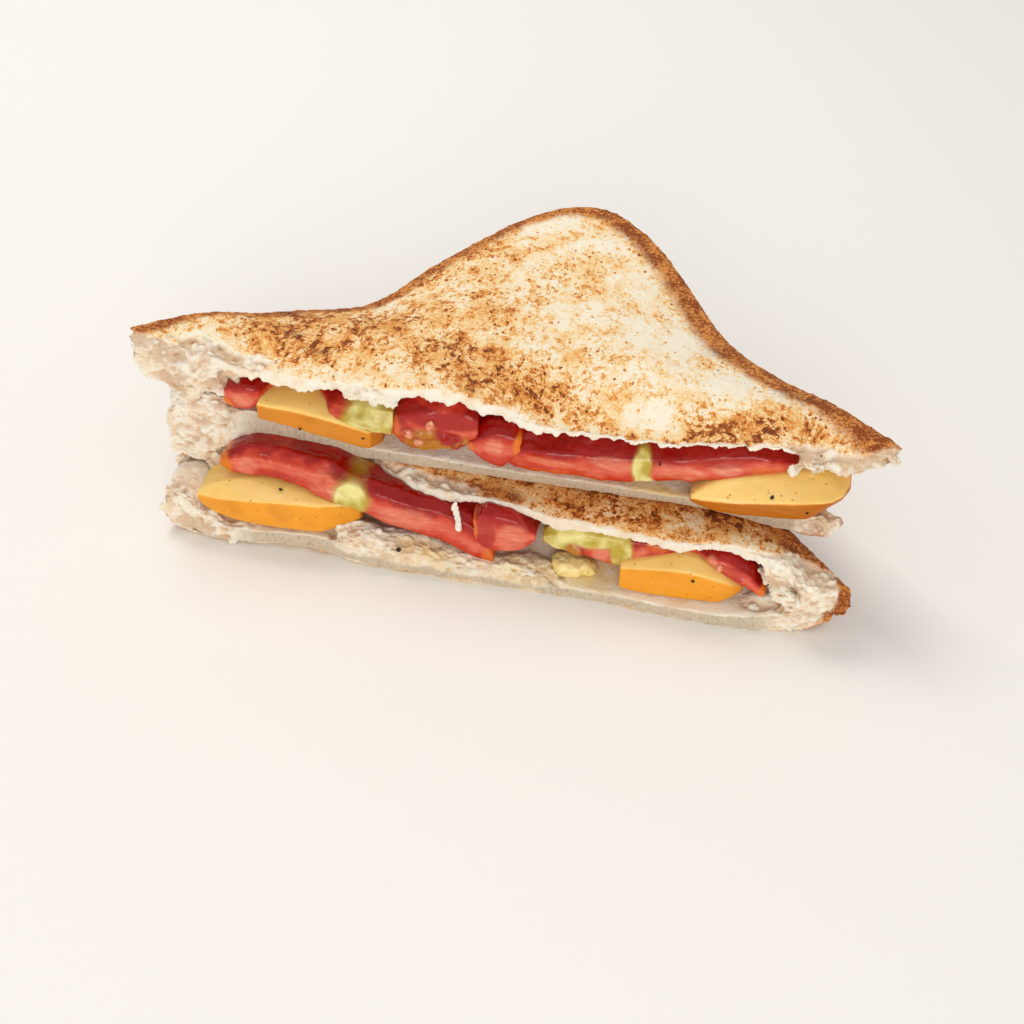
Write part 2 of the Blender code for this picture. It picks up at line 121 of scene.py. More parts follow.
def swell(points: Array, size: float, seed: int) -> Array:
    """Soft noise from -1 to 1 whose lumps are about `size` metres wide.

    Args:
        points: Places, n by 3, metres.
        size: Width of the lumps.
        seed: Which pattern.

    Returns:
        One value for each place.
    """
    scaled = points / size
    base = np.floor(scaled).astype(np.int64)
    part = scaled - base
    part = part * part * (3.0 - 2.0 * part)
    total = np.zeros(len(points))
    for dx in (0, 1):
        wx = part[:, 0] if dx else 1.0 - part[:, 0]
        for dy in (0, 1):
            wy = part[:, 1] if dy else 1.0 - part[:, 1]
            for dz in (0, 1):
                wz = part[:, 2] if dz else 1.0 - part[:, 2]
                total += wx * wy * wz * hashed(base[:, 0] + dx, base[:, 1] + dy,
                                               base[:, 2] + dz, seed)
    return total * 2.0 - 1.0


def rough(points: Array, size: float, seed: int, octaves: int = 3, fade: float = 0.5) -> Array:
    """Several layers of soft noise, each half the size and `fade` the strength.

    Args:
        points: Places, n by 3, metres.
        size: Width of the largest lumps, metres.
        seed: Which pattern.
        octaves: How many layers.
        fade: Strength of each against the last.

    Returns:
        One value for each place, -1 to 1.
    """
    total, weight, norm = np.zeros(len(points)), 1.0, 0.0
    for layer in range(octaves):
        total += weight * swell(points, size / 2 ** layer, seed + 31 * layer)
        norm += weight
        weight *= fade
    return total / norm


def bubbles(points: Array, size: float, seed: int) -> tuple[Array, Array, Array]:
    """Cell noise for pores and flakes.

    Args:
        points: Places to evaluate, n by 3, metres.
        size: Spacing of the cells in metres.
        seed: Which pattern.

    Returns:
        Distance to the nearest centre, gap to the second nearest (both in cells), and
        a random value of the nearest cell.
    """
    scaled = points / size
    base = np.floor(scaled).astype(np.int64)
    first = np.full(len(points), 9.0)
    second = np.full(len(points), 9.0)
    chosen = np.zeros(len(points))
    for dx in (-1, 0, 1):
        for dy in (-1, 0, 1):
            for dz in (-1, 0, 1):
                cx, cy, cz = base[:, 0] + dx, base[:, 1] + dy, base[:, 2] + dz
                jx = hashed(cx, cy, cz, seed)
                jy = hashed(cx, cy, cz, seed + 11)
                jz = hashed(cx, cy, cz, seed + 23)
                gap = np.sqrt((cx + jx - scaled[:, 0]) ** 2 + (cy + jy - scaled[:, 1]) ** 2
                              + (cz + jz - scaled[:, 2]) ** 2)
                closer = gap < first
                second = np.where(closer, first, np.minimum(second, gap))
                chosen = np.where(closer, jx, chosen)
                first = np.where(closer, gap, first)
    return first, second - first, chosen


def feed_node(node: bpy.types.Node, feeds: dict[Any, Feed]) -> None:
    """Set or link a node's inputs.

    Args:
        node: Node that is fed.
        feeds: Input name or number to a value, a hex colour, or the socket that feeds it. A
            node feeds by its first output.
    """
    for key, value in feeds.items():
        if isinstance(value, bpy.types.Node):
            value = value.outputs[0]
        if isinstance(value, bpy.types.NodeSocket):
            node.id_data.links.new(value, node.inputs[key])
        else:
            is_colour = isinstance(value, str) and value.startswith("#")
            node.inputs[key].default_value = linear(value) if is_colour else value


def add_node(tree: bpy.types.NodeTree, kind: str, feeds: Optional[dict[Any, Feed]] = None,
             **settings: Any) -> bpy.types.Node:
    """Add a node with its settings, values and links.

    Args:
        tree: Shader or geometry tree that gets the node.
        kind: Blender's name of the node type.
        feeds: Input name or number to what feeds it.
        settings: Properties of the node.

    Returns:
        The new node.
    """
    made = tree.nodes.new(kind)
    for name, value in settings.items():
        setattr(made, name, value)
    feed_node(made, feeds or {})
    return made


def set_stops(ramp: bpy.types.Node, stops: Sequence[tuple[float, str]]) -> None:
    """Give a colour ramp its places and hex colours.

    Args:
        ramp: The ramp's node.
        stops: Place and colour of each stop, in order.
    """
    elements = ramp.color_ramp.elements
    elements[0].position, elements[0].color = stops[0][0], linear(stops[0][1])
    elements[1].position, elements[1].color = stops[-1][0], linear(stops[-1][1])
    for position, colour in stops[1:-1]:
        elements.new(position).color = linear(colour)


def plain_mesh(name: str, source: bpy.types.Mesh, modifiers: Sequence[tuple[str, dict[str, Any]]]
               ) -> bpy.types.Mesh:
    """Run modifiers over a mesh and keep the result as a plain mesh.

    Args:
        name: Name of the new mesh.
        source: Mesh to start from.
        modifiers: Modifier type and its settings, in order.

    Returns:
        The finished mesh.
    """
    worker = bpy.data.objects.new("worker", source)
    bpy.context.scene.collection.objects.link(worker)
    for kind, settings in modifiers:
        made = worker.modifiers.new(kind.lower(), kind)
        for key, value in settings.items():
            setattr(made, key, value)
    graph = bpy.context.evaluated_depsgraph_get()
    mesh = bpy.data.meshes.new_from_object(worker.evaluated_get(graph))
    mesh.name = name
    bpy.data.objects.remove(worker)
    return mesh


def read_points(mesh: bpy.types.Mesh) -> tuple[Array, Array]:
    """Positions and normals of a mesh's vertices as arrays.

    Args:
        mesh: Mesh that is read.

    Returns:
        Positions in metres and unit normals, n by 3 each.
    """
    points = np.zeros(len(mesh.vertices) * 3, np.float32)
    normals = np.zeros(len(mesh.vertices) * 3, np.float32)
    mesh.vertices.foreach_get("co", points)
    mesh.vertex_normals.foreach_get("vector", normals)
    return points.reshape(-1, 3).astype(float), normals.reshape(-1, 3).astype(float)


def write_points(mesh: bpy.types.Mesh, points: Array) -> None:
    """Put moved positions back in a mesh."""
    mesh.vertices.foreach_set("co", points.astype(np.float32).ravel())
    mesh.update()


def write_mask(mesh: bpy.types.Mesh, name: str, values: Array) -> None:
    """Keep a value for each vertex as an attribute that materials read."""
    layer = mesh.attributes.new(name, "FLOAT", "POINT")
    layer.data.foreach_set("value", np.clip(values, 0.0, 1.0).astype(np.float32))


def shade_smooth(mesh: bpy.types.Mesh) -> None:
    """Shade every face smoothly."""
    mesh.polygons.foreach_set("use_smooth", [True] * len(mesh.polygons))


def merged_copy(node: str) -> bmesh.types.BMesh:
    """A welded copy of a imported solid, with its triangles paired back into quads.

    Args:
        node: Name of the solid.

    Returns:
        The copy, which the caller frees.
    """
    bm = bmesh.new()
    bm.from_mesh(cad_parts[node].data)
    bmesh.ops.remove_doubles(bm, verts=bm.verts[:], dist=0.01 * MM)
    bmesh.ops.recalc_face_normals(bm, faces=bm.faces[:])
    bmesh.ops.join_triangles(bm, faces=bm.faces[:], angle_face_threshold=math.radians(60),
                             angle_shape_threshold=math.radians(60))
    return bm


def keep_edges(bm: bmesh.types.BMesh, angle: float, amount: float) -> None:
    """Crease every edge sharper than `angle` degrees, so that subdivision keeps it.

    Args:
        bm: Mesh that is creased.
        angle: Least angle between the faces, degrees.
        amount: How firmly an edge is kept, 0 to 1.
    """
    crease = bm.edges.layers.float.new("crease_edge")
    for edge in bm.edges:
        if len(edge.link_faces) == 2 and edge.calc_face_angle(0.0) > math.radians(angle):
            edge[crease] = amount


def finish_piece(name: str, mesh: bpy.types.Mesh, material: bpy.types.Material,
                 nodes: Sequence[str] = ()) -> bpy.types.Object:
    """Make a piece of the sandwich, ride it on the body and stand it for its solids.

    Args:
        name: Name of the piece.
        mesh: Its finished mesh, in place.
        material: Its finish.
        nodes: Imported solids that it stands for.

    Returns:
        The object.
    """
    mesh.materials.clear()
    mesh.materials.append(material)
    piece = bpy.data.objects.new(name, mesh)
    bpy.context.scene.collection.objects.link(piece)
    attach(piece, BODY)
    if nodes:
        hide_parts(*nodes)
    LOG.info("%s: %d faces", name, len(mesh.polygons))
    return piece


# ---------------------------------------------------------------- finishes
@dataclass(frozen=True)
class Marks:
    """Soft-edged marks all over a surface, or thin lines, drawn from noise."""

    size: float               # metres across
    detail: float             # how many finer layers they carry
    ragged: float             # how strong the finer layers are
    low: float                # value of the noise at which they have the strength `before`
    high: float               # value at which they have the strength `after`
    before: float = 0.0
    after: float = 1.0
    lines: bool = False       # taken from the middle value of the noise, which draws lines


class Look:
    """One material being put together from nodes."""

    def __init__(self, name: str, *masks: str) -> None:
        """Start a material with a principled shader.

        Args:
            name: Name of the material.
            masks: Masks of its pieces that it reads.
        """
        self.material = bpy.data.materials.new(name)
        self.material.use_nodes = True
        self.tree = self.material.node_tree
        self.tree.nodes.clear()
        self.shader = add_node(self.tree, "ShaderNodeBsdfPrincipled")
        add_node(self.tree, "ShaderNodeOutputMaterial", {"Surface": self.shader})
        self.place = add_node(self.tree, "ShaderNodeTexCoord").outputs["Object"]
        self.masks = {mask: add_node(self.tree, "ShaderNodeAttribute",
                                     attribute_name=mask).outputs["Fac"] for mask in masks}

    def pushed(self, size: float, reach: float, place: Feed = None) -> bpy.types.Node:
        """The place pushed about by noise, so that what is drawn on it wanders.

        Args:
            size: How wide the bends are, metres.
            reach: How far they push, metres.
            place: What is pushed, if it isn't the plain place.

        Returns:
            The node that gives the bent place.
        """
        start = place or self.place
        noise = add_node(self.tree, "ShaderNodeTexNoise",
                         {"Vector": start, "Scale": 1.0 / size, "Detail": 2.0})
        centred = add_node(self.tree, "ShaderNodeVectorMath",
                           {0: noise.outputs["Color"], 1: (0.5, 0.5, 0.5)}, operation="SUBTRACT")
        return add_node(self.tree, "ShaderNodeVectorMath",
                        {0: centred, 1: (2 * reach,) * 3, 2: start}, operation="MULTIPLY_ADD")

    def marked(self, marks: Marks, place: Feed = None) -> bpy.types.Node:
        """How strong a kind of marks is at each point.

        Args:
            marks: Their size and edges.
            place: Where they are drawn, if it isn't the plain place.

        Returns:
            The node that gives their strength.
        """
        value = add_node(self.tree, "ShaderNodeTexNoise",
                         {"Vector": place or self.place, "Scale": 1.0 / marks.size,
                          "Detail": marks.detail, "Roughness": marks.ragged})
        if marks.lines:
            value = self.sum_of(value, -0.5)
            value = add_node(self.tree, "ShaderNodeMath", {0: value}, operation="ABSOLUTE")
        return add_node(self.tree, "ShaderNodeMapRange",
                        {"Value": value, "From Min": marks.low, "From Max": marks.high,
                         "To Min": marks.before, "To Max": marks.after},
                        interpolation_type="SMOOTHSTEP")

    def sum_of(self, *terms: Feed, operation: str = "ADD") -> Feed:
        """Chain terms through a sum, a product or other arithmetic.

        Args:
            terms: Values, sockets or nodes.
            operation: Blender's name of the arithmetic.

        Returns:
            The last node of the chain.
        """
        total = terms[0]
        for term in terms[1:]:
            total = add_node(self.tree, "ShaderNodeMath", {0: total, 1: term},
                             operation=operation)
        return total

    def product(self, *terms: Feed) -> Feed:
        """Chain terms through a product."""
        return self.sum_of(*terms, operation="MULTIPLY")

    def coated(self, under: Feed, *coats: tuple[Feed, Feed]) -> Feed:
        """Lay colours over one another.

        Args:
            under: Colour underneath.
            coats: How much each coat covers, and its colour.

        Returns:
            The colour that shows.
        """
        for share, colour in coats:
            under = add_node(self.tree, "ShaderNodeMix", {0: share, 6: under, 7: colour},
                             data_type="RGBA").outputs[2]
        return under

    def finish(self, **feeds: Feed) -> bpy.types.Material:
        """Feed the shader's sockets, named with _ for spaces, and give the material back.

        Args:
            feeds: Socket to what feeds it.

        Returns:
            The finished material.
        """
        feed_node(self.shader, {name.replace("_", " "): value for name, value in feeds.items()})
        return self.material


@dataclass(frozen=True)
class BreadFinish:
    """Toasted white sandwich bread: pale open crumb, mottled griddled faces, thin crust."""

    cream: str = "#FCF1DD"
    straw: str = "#FBDBA6"
    gold: str = "#F1B668"
    golden: str = "#DB8A3E"
    brown: str = "#B45C1B"
    burnt: str = "#743914"
    crumb: str = "#FFF8E9"
    crumb_shade: str = "#F9E7CD"
    # strip: grey of the cut strip on the front wall, painted shade over the pressed crumb
    shaded_strip: str = "#D2C3AC"
    strip_pore: str = "#9A8163"
    # pore: painted shade in pores and in the creases of torn crumb
    pore: str = "#CC9E6E"
    butter: str = "#F6D88C"
    crust_light: str = "#E0954C"
    crust_dark: str = "#8C4216"
    scorched: str = "#4A2413"
    clouds: Marks = Marks(7.0 * MM, 4.0, 0.60, 0.36, 0.66)
    mottling: Marks = Marks(2.3 * MM, 5.0, 0.68, 0.47, 0.62)
    patches: Marks = Marks(4.6 * MM, 3.0, 0.55, 0.38, 0.60, 0.12)     # where mottling is strong
    flecks: Marks = Marks(0.95 * MM, 3.0, 0.60, 0.53, 0.60)
    strokes: Marks = Marks(3.4 * MM, 2.0, 0.50, 0.004, 0.034, 1.0, 0.0, lines=True)
    breaks: Marks = Marks(1.8 * MM, 2.0, 0.50, 0.48, 0.60)            # what is left of the strokes
    rings: Marks = Marks(1.9 * MM, 3.0, 0.60, 0.004, 0.030, 1.0, 0.0, lines=True)
    dot: float = 1.35 * MM
    sand: float = 0.45 * MM
    dimness: Marks = Marks(4.5 * MM, 3.0, 0.50, 0.40, 0.68)
    combing: Marks = Marks(0.60 * MM, 3.0, 0.65, 0.46, 0.74, 0.0, 0.55)
    smearing: Marks = Marks(3.0 * MM, 3.0, 0.50, 0.28, 0.50)

    def heat(self, look: Look) -> Feed:
        """How far each point of a griddled face is toasted: clouds, strokes, dots and sand.

        Args:
            look: Material being made.

        Returns:
            A value from 0, untouched, to 1, burnt.
        """
        tree, char = look.tree, look.masks["char"]
        along = add_node(tree, "ShaderNodeMapping",
                         {"Vector": look.place, "Scale": (1.0, 0.74, 1.0),
                          "Rotation": (0.0, 0.0, 0.10)})
        bent = look.pushed(4.0 * MM, 1.2 * MM, along)

        # a browned dot at each cell, its width and strength by chance
        cells = add_node(tree, "ShaderNodeTexVoronoi",
                         {"Vector": look.pushed(1.0 * MM, 0.35 * MM, along),
                          "Scale": 1.0 / self.dot})
        chance = add_node(tree, "ShaderNodeSeparateColor", {0: cells.outputs["Color"]})
        near = look.sum_of(cells, look.product(chance, 0.50))
        dot = add_node(tree, "ShaderNodeMapRange",
                       {"Value": near, "From Min": 0.24, "From Max": 0.36, "To Min": 1.0,
                        "To Max": 0.0}, interpolation_type="SMOOTHSTEP")
        strong = add_node(tree, "ShaderNodeMapRange",
                          {"Value": chance.outputs[1], "To Min": 0.45},
                          interpolation_type="SMOOTHSTEP")

        breaks = look.marked(self.breaks)
        open_rings = add_node(tree, "ShaderNodeMapRange",
                              {"Value": breaks, "To Min": 0.1, "To Max": 0.7},
                              interpolation_type="SMOOTHSTEP")
        patches = look.marked(self.patches, along)
        sand = add_node(tree, "ShaderNodeTexNoise",
                        {"Vector": along, "Scale": 1.0 / self.sand, "Detail": 3.0,
                         "Roughness": 0.7})
        layers = (      # least strength, what browning adds, how browned it is, and the marks
            (0.10, 0.14, char, look.marked(self.clouds, bent)),
            (0.08, 0.62, look.product(char, char),
             look.product(look.marked(self.mottling, bent), patches)),
            (0.10, 0.52, char, look.product(look.marked(self.flecks, along), patches)),
            (0.40, 0.40, char, look.product(dot, strong)),
            (0.12, 0.30, char, look.product(look.marked(self.strokes, bent), breaks)),
            (0.05, 0.26, char, look.product(look.marked(self.rings, along), open_rings)),
            (0.30, 0.60, char, look.sum_of(sand, -0.5)))
        return look.sum_of(look.product(char, 0.24), *(
            look.product(marks, look.sum_of(look.product(browning, added), least))
            for least, added, browning, marks in layers))

    def inside(self, look: Look, holes: Feed) -> Feed:
        """Colour of the crumb: cream, with painted shade in its pores and creases, and the cut
        strip greyer with painted shade over the pressed crumb.

        Args:
            look: Material being made.
            holes: Fine pores, 0 to 1, which get a little painted shade.

        Returns:
            The colour.
        """
        across = add_node(look.tree, "ShaderNodeMapping",
                          {"Vector": look.place, "Scale": (1.0, 0.6, 0.5)})
        sliced = look.coated(self.shaded_strip, (look.marked(self.combing, across), self.strip_pore))
        smears = look.product(look.masks["smear"], look.marked(self.smearing))
        # painted shade: a little in fine pores, more where the pit mask is; painted grey shade on
        # the cut strip
        return look.coated(self.crumb, (look.marked(self.dimness), self.crumb_shade),
                           (look.product(holes, 0.10), self.pore),
                           (look.masks["pit"], self.pore), (look.masks["shaded_strip"], sliced),
                           (smears, self.butter))

    def build(self) -> bpy.types.Material:
        """Make the material. Griddled white bread: matt and pale, with crisp browned flecks
        where the crumb touched the iron and a granular baked rind.

        Returns:
            The finished material.
        """
        look = Look("griddled_white_bread", "toast", "char", "crust", "scorch", "shaded_strip", "smear",
                    "pit")
        tree, masks = look.tree, look.masks
        heat = self.heat(look)
        toasted = add_node(tree, "ShaderNodeValToRGB", {"Fac": heat})
        set_stops(toasted, ((0.08, self.cream), (0.20, self.straw), (0.33, self.gold),
                            (0.50, self.golden), (0.70, self.brown), (0.98, self.burnt)))
        pores = add_node(tree, "ShaderNodeTexVoronoi",
                         {"Vector": look.pushed(1.2 * MM, 0.5 * MM), "Scale": 1.0 / (1.0 * MM)})
        holes = add_node(tree, "ShaderNodeMapRange",
                         {"Value": pores, "From Min": 0.10, "From Max": 0.40, "To Min": 1.0,
                          "To Max": 0.0}, interpolation_type="SMOOTHSTEP")

        # rind: baked specks, thicker in some patches than in others
        specks = add_node(tree, "ShaderNodeTexNoise",
                          {"Vector": look.place, "Scale": 1.0 / (0.7 * MM), "Detail": 4.0,
                           "Roughness": 0.75})
        patches = add_node(tree, "ShaderNodeTexNoise",
                           {"Vector": look.place, "Scale": 1.0 / (5.0 * MM), "Detail": 3.0,
                            "Roughness": 0.6})
        baked = add_node(tree, "ShaderNodeMapRange",
                         {"Value": look.sum_of(specks, look.product(patches, 0.6)),
                          "From Min": 0.68, "From Max": 0.88}, interpolation_type="SMOOTHSTEP")
        rind = look.coated(self.crust_light, (baked, self.crust_dark))
        black = add_node(tree, "ShaderNodeMapRange",
                         {"Value": specks, "From Min": 0.35, "From Max": 0.6},
                         interpolation_type="SMOOTHSTEP")
        body = look.coated(self.inside(look, holes), (masks["toast"], toasted),
                           (masks["crust"], rind),
                           (look.product(masks["scorch"], black), self.scorched))

        # relief: browned places pressed in, crumb open
        crisp = add_node(tree, "ShaderNodeTexNoise",
                         {"Vector": look.place, "Scale": 1.0 / (0.6 * MM), "Detail": 3.0,
                          "Roughness": 0.7})
        pressed = add_node(tree, "ShaderNodeBump",
                           {"Height": look.sum_of(look.product(heat, -0.8), crisp),
                            "Distance": 0.30 * MM, "Strength": 0.6})
        fluff = add_node(tree, "ShaderNodeTexNoise",
                         {"Vector": look.place, "Scale": 1.0 / (0.55 * MM), "Detail": 4.0,
                          "Roughness": 0.75})
        foam = add_node(tree, "ShaderNodeBump",
                        {"Height": look.sum_of(look.product(holes, -0.35), fluff),
                         "Distance": 0.32 * MM, "Strength": 0.8})
        relief = add_node(tree, "ShaderNodeMix", {0: masks["toast"], 4: foam, 5: pressed},
                          data_type="VECTOR").outputs[1]
        dull = add_node(tree, "ShaderNodeMapRange",
                        {"Value": heat, "From Min": 0.1, "From Max": 0.9, "To Min": 0.88,
                         "To Max": 0.66}, interpolation_type="SMOOTHSTEP")
        return look.finish(Base_Color=body, Roughness=dull, Normal=relief,
                           Subsurface_Weight=0.22, Subsurface_Radius=(1.0, 0.72, 0.45),
                           Subsurface_Scale=1.4 * MM, Specular_IOR_Level=0.30)


@dataclass(frozen=True)
class CheeseFinish:
    """Orange block cheese, warm and just sweating: satin, waxy, light passes a little way in."""

    name: str
    # the face colour of the tops is lighter as painted light from above, and the colour of the
    # front sides is darker as painted shade
    face: str = "#FFD47A"
    shaded_side: str = "#F0A01A"
    # deep: painted shade on the right ends, the fronts and in the pits, and also the darker
    # mottling of the cheese
    deep: str = "#BC6A02"
    # pale: knife drag marks, and on the tops also painted highlight streaks
    pale: str = "#FFE3A6"
    cloud: float = 6.0 * MM
    drag: float = 1.6 * MM    # width of the drag marks of the knife, which on the tops are also a painted highlight
    pit: float = 2.6 * MM     # spacing of the pits

    def build(self) -> bpy.types.Material:
        """Make the material. Block cheese cut with a knife: satin planes with faint drag marks,
        a few pits and pale specks.

        Returns:
            The finished material.
        """
        look = Look(self.name, "top", "end", "shade")
        tree, top = look.tree, look.masks["top"]
        cloud = add_node(tree, "ShaderNodeTexNoise",
                         {"Vector": look.place, "Scale": 1.0 / self.cloud, "Detail": 3.0,
                          "Roughness": 0.5})
        along = add_node(tree, "ShaderNodeMapping",
                         {"Vector": look.place, "Scale": (0.16, 0.8, 1.0),
                          "Rotation": (0.0, 0.0, -0.1)})
        drag = add_node(tree, "ShaderNodeTexNoise",
                        {"Vector": along, "Scale": 1.0 / self.drag, "Detail": 3.0,
                         "Roughness": 0.6})
        cells = add_node(tree, "ShaderNodeTexVoronoi",
                         {"Vector": look.place, "Scale": 1.0 / self.pit})
        pits = add_node(tree, "ShaderNodeMapRange",
                        {"Value": cells, "From Min": 0.06, "From Max": 0.14, "To Min": 1.0,
                         "To Max": 0.0}, interpolation_type="SMOOTHSTEP")
        grain = add_node(tree, "ShaderNodeTexNoise",
                         {"Vector": look.place, "Scale": 1.0 / (2.5 * MM), "Detail": 3.0,
                          "Roughness": 0.5})
        clouded = add_node(tree, "ShaderNodeMapRange",
                           {"Value": cloud, "From Min": 0.45, "From Max": 0.75},
                           interpolation_type="SMOOTHSTEP")
        drag_and_sheen = add_node(tree, "ShaderNodeMapRange",
                           {"Value": drag, "From Min": 0.50, "From Max": 0.75},
                           interpolation_type="SMOOTHSTEP")
        sheen = add_node(tree, "ShaderNodeMapRange",
                         {"Value": cloud, "From Min": 0.3, "From Max": 0.7, "To Min": 0.30,
                          "To Max": 0.46}, interpolation_type="SMOOTHSTEP")
        # painted shade on the faces turned to the right and on the fronts
        shaded_part = look.sum_of(look.masks["end"], look.masks["shade"], operation="MAXIMUM")
        base = look.coated(
            self.shaded_side, (top, self.face), (shaded_part, self.deep),
            (look.product(clouded, look.sum_of(0.32, look.product(top, -0.22))), self.deep),
            # pale drag marks, strongest on the tops, where they are partly painted highlight
            (look.product(drag_and_sheen, look.sum_of(look.product(top, 0.5), 0.05)), self.pale),
            # painted shade in the pits
            (look.product(pits, 0.6), self.deep))
        height = look.sum_of(look.product(drag, 0.6), look.product(pits, -0.8), grain)
        relief = add_node(tree, "ShaderNodeBump",
                          {"Height": height, "Distance": 0.14 * MM, "Strength": 0.6})
        return look.finish(Base_Color=base, Roughness=sheen, Normal=relief, IOR=1.45,
                           Subsurface_Weight=0.35, Subsurface_Radius=(1.0, 0.45, 0.10),
                           Subsurface_Scale=2.5 * MM)


@dataclass(frozen=True)
class TomatoFinish:
    """Ripe tomato: wet salmon-red cut faces, a top darkened by painted shade, a green core, orange
    skin.
    """

    hem: str = "#C0300C"      # thin lower edge, where light comes through
    flesh: str = "#CC3A20"
    flush: str = "#DE6246"
    fibre: str = "#EE9C7C"
    # painted shade of the top, under the slice above
    top_shade: str = "#9A0601"
    skin: str = "#DF7418"
    core: str = "#BDA636"
    core_pale: str = "#ECE296"
    core_rim: str = "#A89A2C"
    jelly: str = "#B9740F"
    # blood: deep red of gel and patches; in the level ramp it also begins the painted shade of the
    # top
    blood: str = "#A8140A"
    cloud: float = 5.0 * MM
    thread: float = 0.8 * MM  # width of the fibres
    pocket: float = 4.2 * MM  # width of the pale and green parts of a core
    ripple: float = 1.8 * MM  # width of the ripples in its wet surface

    def build(self) -> bpy.types.Material:
        """Make the material. Cut tomato: wet, so small sharp highlights over soft, deep colour,
        with pale fibres drawn along each face.

        Returns:
            The finished material.
        """
        look = Look("cut_tomato", "level", "pale", "blood", "rind", "core", "gel")
        tree, masks = look.tree, look.masks
        cloud = add_node(tree, "ShaderNodeTexNoise",
                         {"Vector": look.place, "Scale": 1.0 / self.cloud, "Detail": 3.0,
                          "Roughness": 0.6})
        along = add_node(tree, "ShaderNodeMapping",
                         {"Vector": look.place, "Scale": (0.16, 0.6, 1.0),
                          "Rotation": (0.0, 0.0, 0.1)})
        threads = add_node(tree, "ShaderNodeTexNoise",
                           {"Vector": look.pushed(5.0 * MM, 1.2 * MM, along),
                            "Scale": 1.0 / self.thread, "Detail": 4.0, "Roughness": 0.65})
        level = look.sum_of(masks["level"], look.product(look.sum_of(cloud, -0.5), 0.75))
        # level ramp: its upper end, blood red then near black, is painted shade under the slice
        # above
        flesh = add_node(tree, "ShaderNodeValToRGB", {"Fac": level})
        set_stops(flesh, ((0.04, self.hem), (0.24, self.flesh), (0.44, self.flush),
                          (0.68, self.flesh), (0.84, self.blood), (1.0, self.top_shade)))

        # fibres: between the lower edge and the top, and wherever a face is pale
        above = add_node(tree, "ShaderNodeMapRange",
                         {"Value": level, "From Min": 0.10, "From Max": 0.35},
                         interpolation_type="SMOOTHSTEP")
        below = add_node(tree, "ShaderNodeMapRange",
                         {"Value": level, "From Min": 0.80, "From Max": 0.55},
                         interpolation_type="SMOOTHSTEP")
        thin = add_node(tree, "ShaderNodeMapRange",
                        {"Value": threads, "From Min": 0.46, "From Max": 0.80},
                        interpolation_type="SMOOTHSTEP")
        thick = add_node(tree, "ShaderNodeMapRange",
                         {"Value": threads, "From Min": 0.3, "From Max": 0.7, "To Min": 0.4,
                          "To Max": 0.85}, interpolation_type="SMOOTHSTEP")
        fibres = look.sum_of(look.product(thin, 0.55, look.product(above, below)),
                             look.product(masks["pale"], thick))

        # core: green with pale pockets and a green rim, or jelly
        pockets = add_node(tree, "ShaderNodeTexNoise",
                           {"Vector": look.place, "Scale": 1.0 / self.pocket, "Detail": 2.0,
                            "Roughness": 0.45})
        whitish = add_node(tree, "ShaderNodeMapRange",
                           {"Value": pockets, "From Min": 0.36, "From Max": 0.66},
                           interpolation_type="SMOOTHSTEP")
        rim = add_node(tree, "ShaderNodeMapRange",
                       {"Value": masks["core"], "From Min": 0.55, "From Max": 0.95,
                        "To Min": 0.7, "To Max": 0.0}, interpolation_type="SMOOTHSTEP")
        reddish = add_node(tree, "ShaderNodeMapRange",
                           {"Value": pockets, "From Min": 0.42, "From Max": 0.60},
                           interpolation_type="SMOOTHSTEP")
        heart = look.coated(self.core, (whitish, self.core_pale), (rim, self.core_rim))
        jelly = look.coated(self.jelly, (reddish, self.blood))
        base = look.coated(flesh, (fibres, self.fibre), (masks["blood"], self.blood),
                           (masks["rind"], self.skin), (masks["core"], heart),
                           (masks["gel"], jelly))

        wet = add_node(tree, "ShaderNodeTexNoise",
                       {"Vector": look.place, "Scale": 1.0 / self.ripple, "Detail": 3.0,
                        "Roughness": 0.5})
        relief = add_node(tree, "ShaderNodeBump",
                          {"Height": look.sum_of(look.product(threads, 0.35), wet),
                           "Distance": 0.16 * MM, "Strength": 0.5})
        sheen = add_node(tree, "ShaderNodeMapRange",
                         {"Value": wet, "From Min": 0.3, "From Max": 0.7, "To Min": 0.16,
                          "To Max": 0.36}, interpolation_type="SMOOTHSTEP")
        return look.finish(Base_Color=base, Roughness=sheen, Normal=relief, IOR=1.36,
                           Subsurface_Weight=0.22, Subsurface_Radius=(1.0, 0.25, 0.12),
                           Subsurface_Scale=1.6 * MM, Coat_Weight=0.35, Coat_Roughness=0.05)


@dataclass(frozen=True)
class PepperFinish:
    """Cracked black pepper: near-black husk, faintly shiny, brown where it is broken."""

    husk: str = "#17110D"
    broken: str = "#3A2718"

    def build(self) -> bpy.types.Material:
        """Make the material. Dry husk: dark, wrinkled and almost matt.

        Returns:
            The finished material.
        """
        look = Look("cracked_black_pepper")
        grain = add_node(look.tree, "ShaderNodeTexNoise",
                         {"Vector": look.place, "Scale": 1.0 / (0.3 * MM), "Detail": 3.0,
                          "Roughness": 0.5})
        cracks = add_node(look.tree, "ShaderNodeMapRange",
                          {"Value": grain, "From Min": 0.5, "From Max": 0.7},
                          interpolation_type="SMOOTHSTEP")
        relief = add_node(look.tree, "ShaderNodeBump",
                          {"Height": grain, "Distance": 0.08 * MM, "Strength": 1.0})
        return look.finish(Base_Color=look.coated(self.husk, (cracks, self.broken)),
                           Roughness=0.6, Normal=relief)


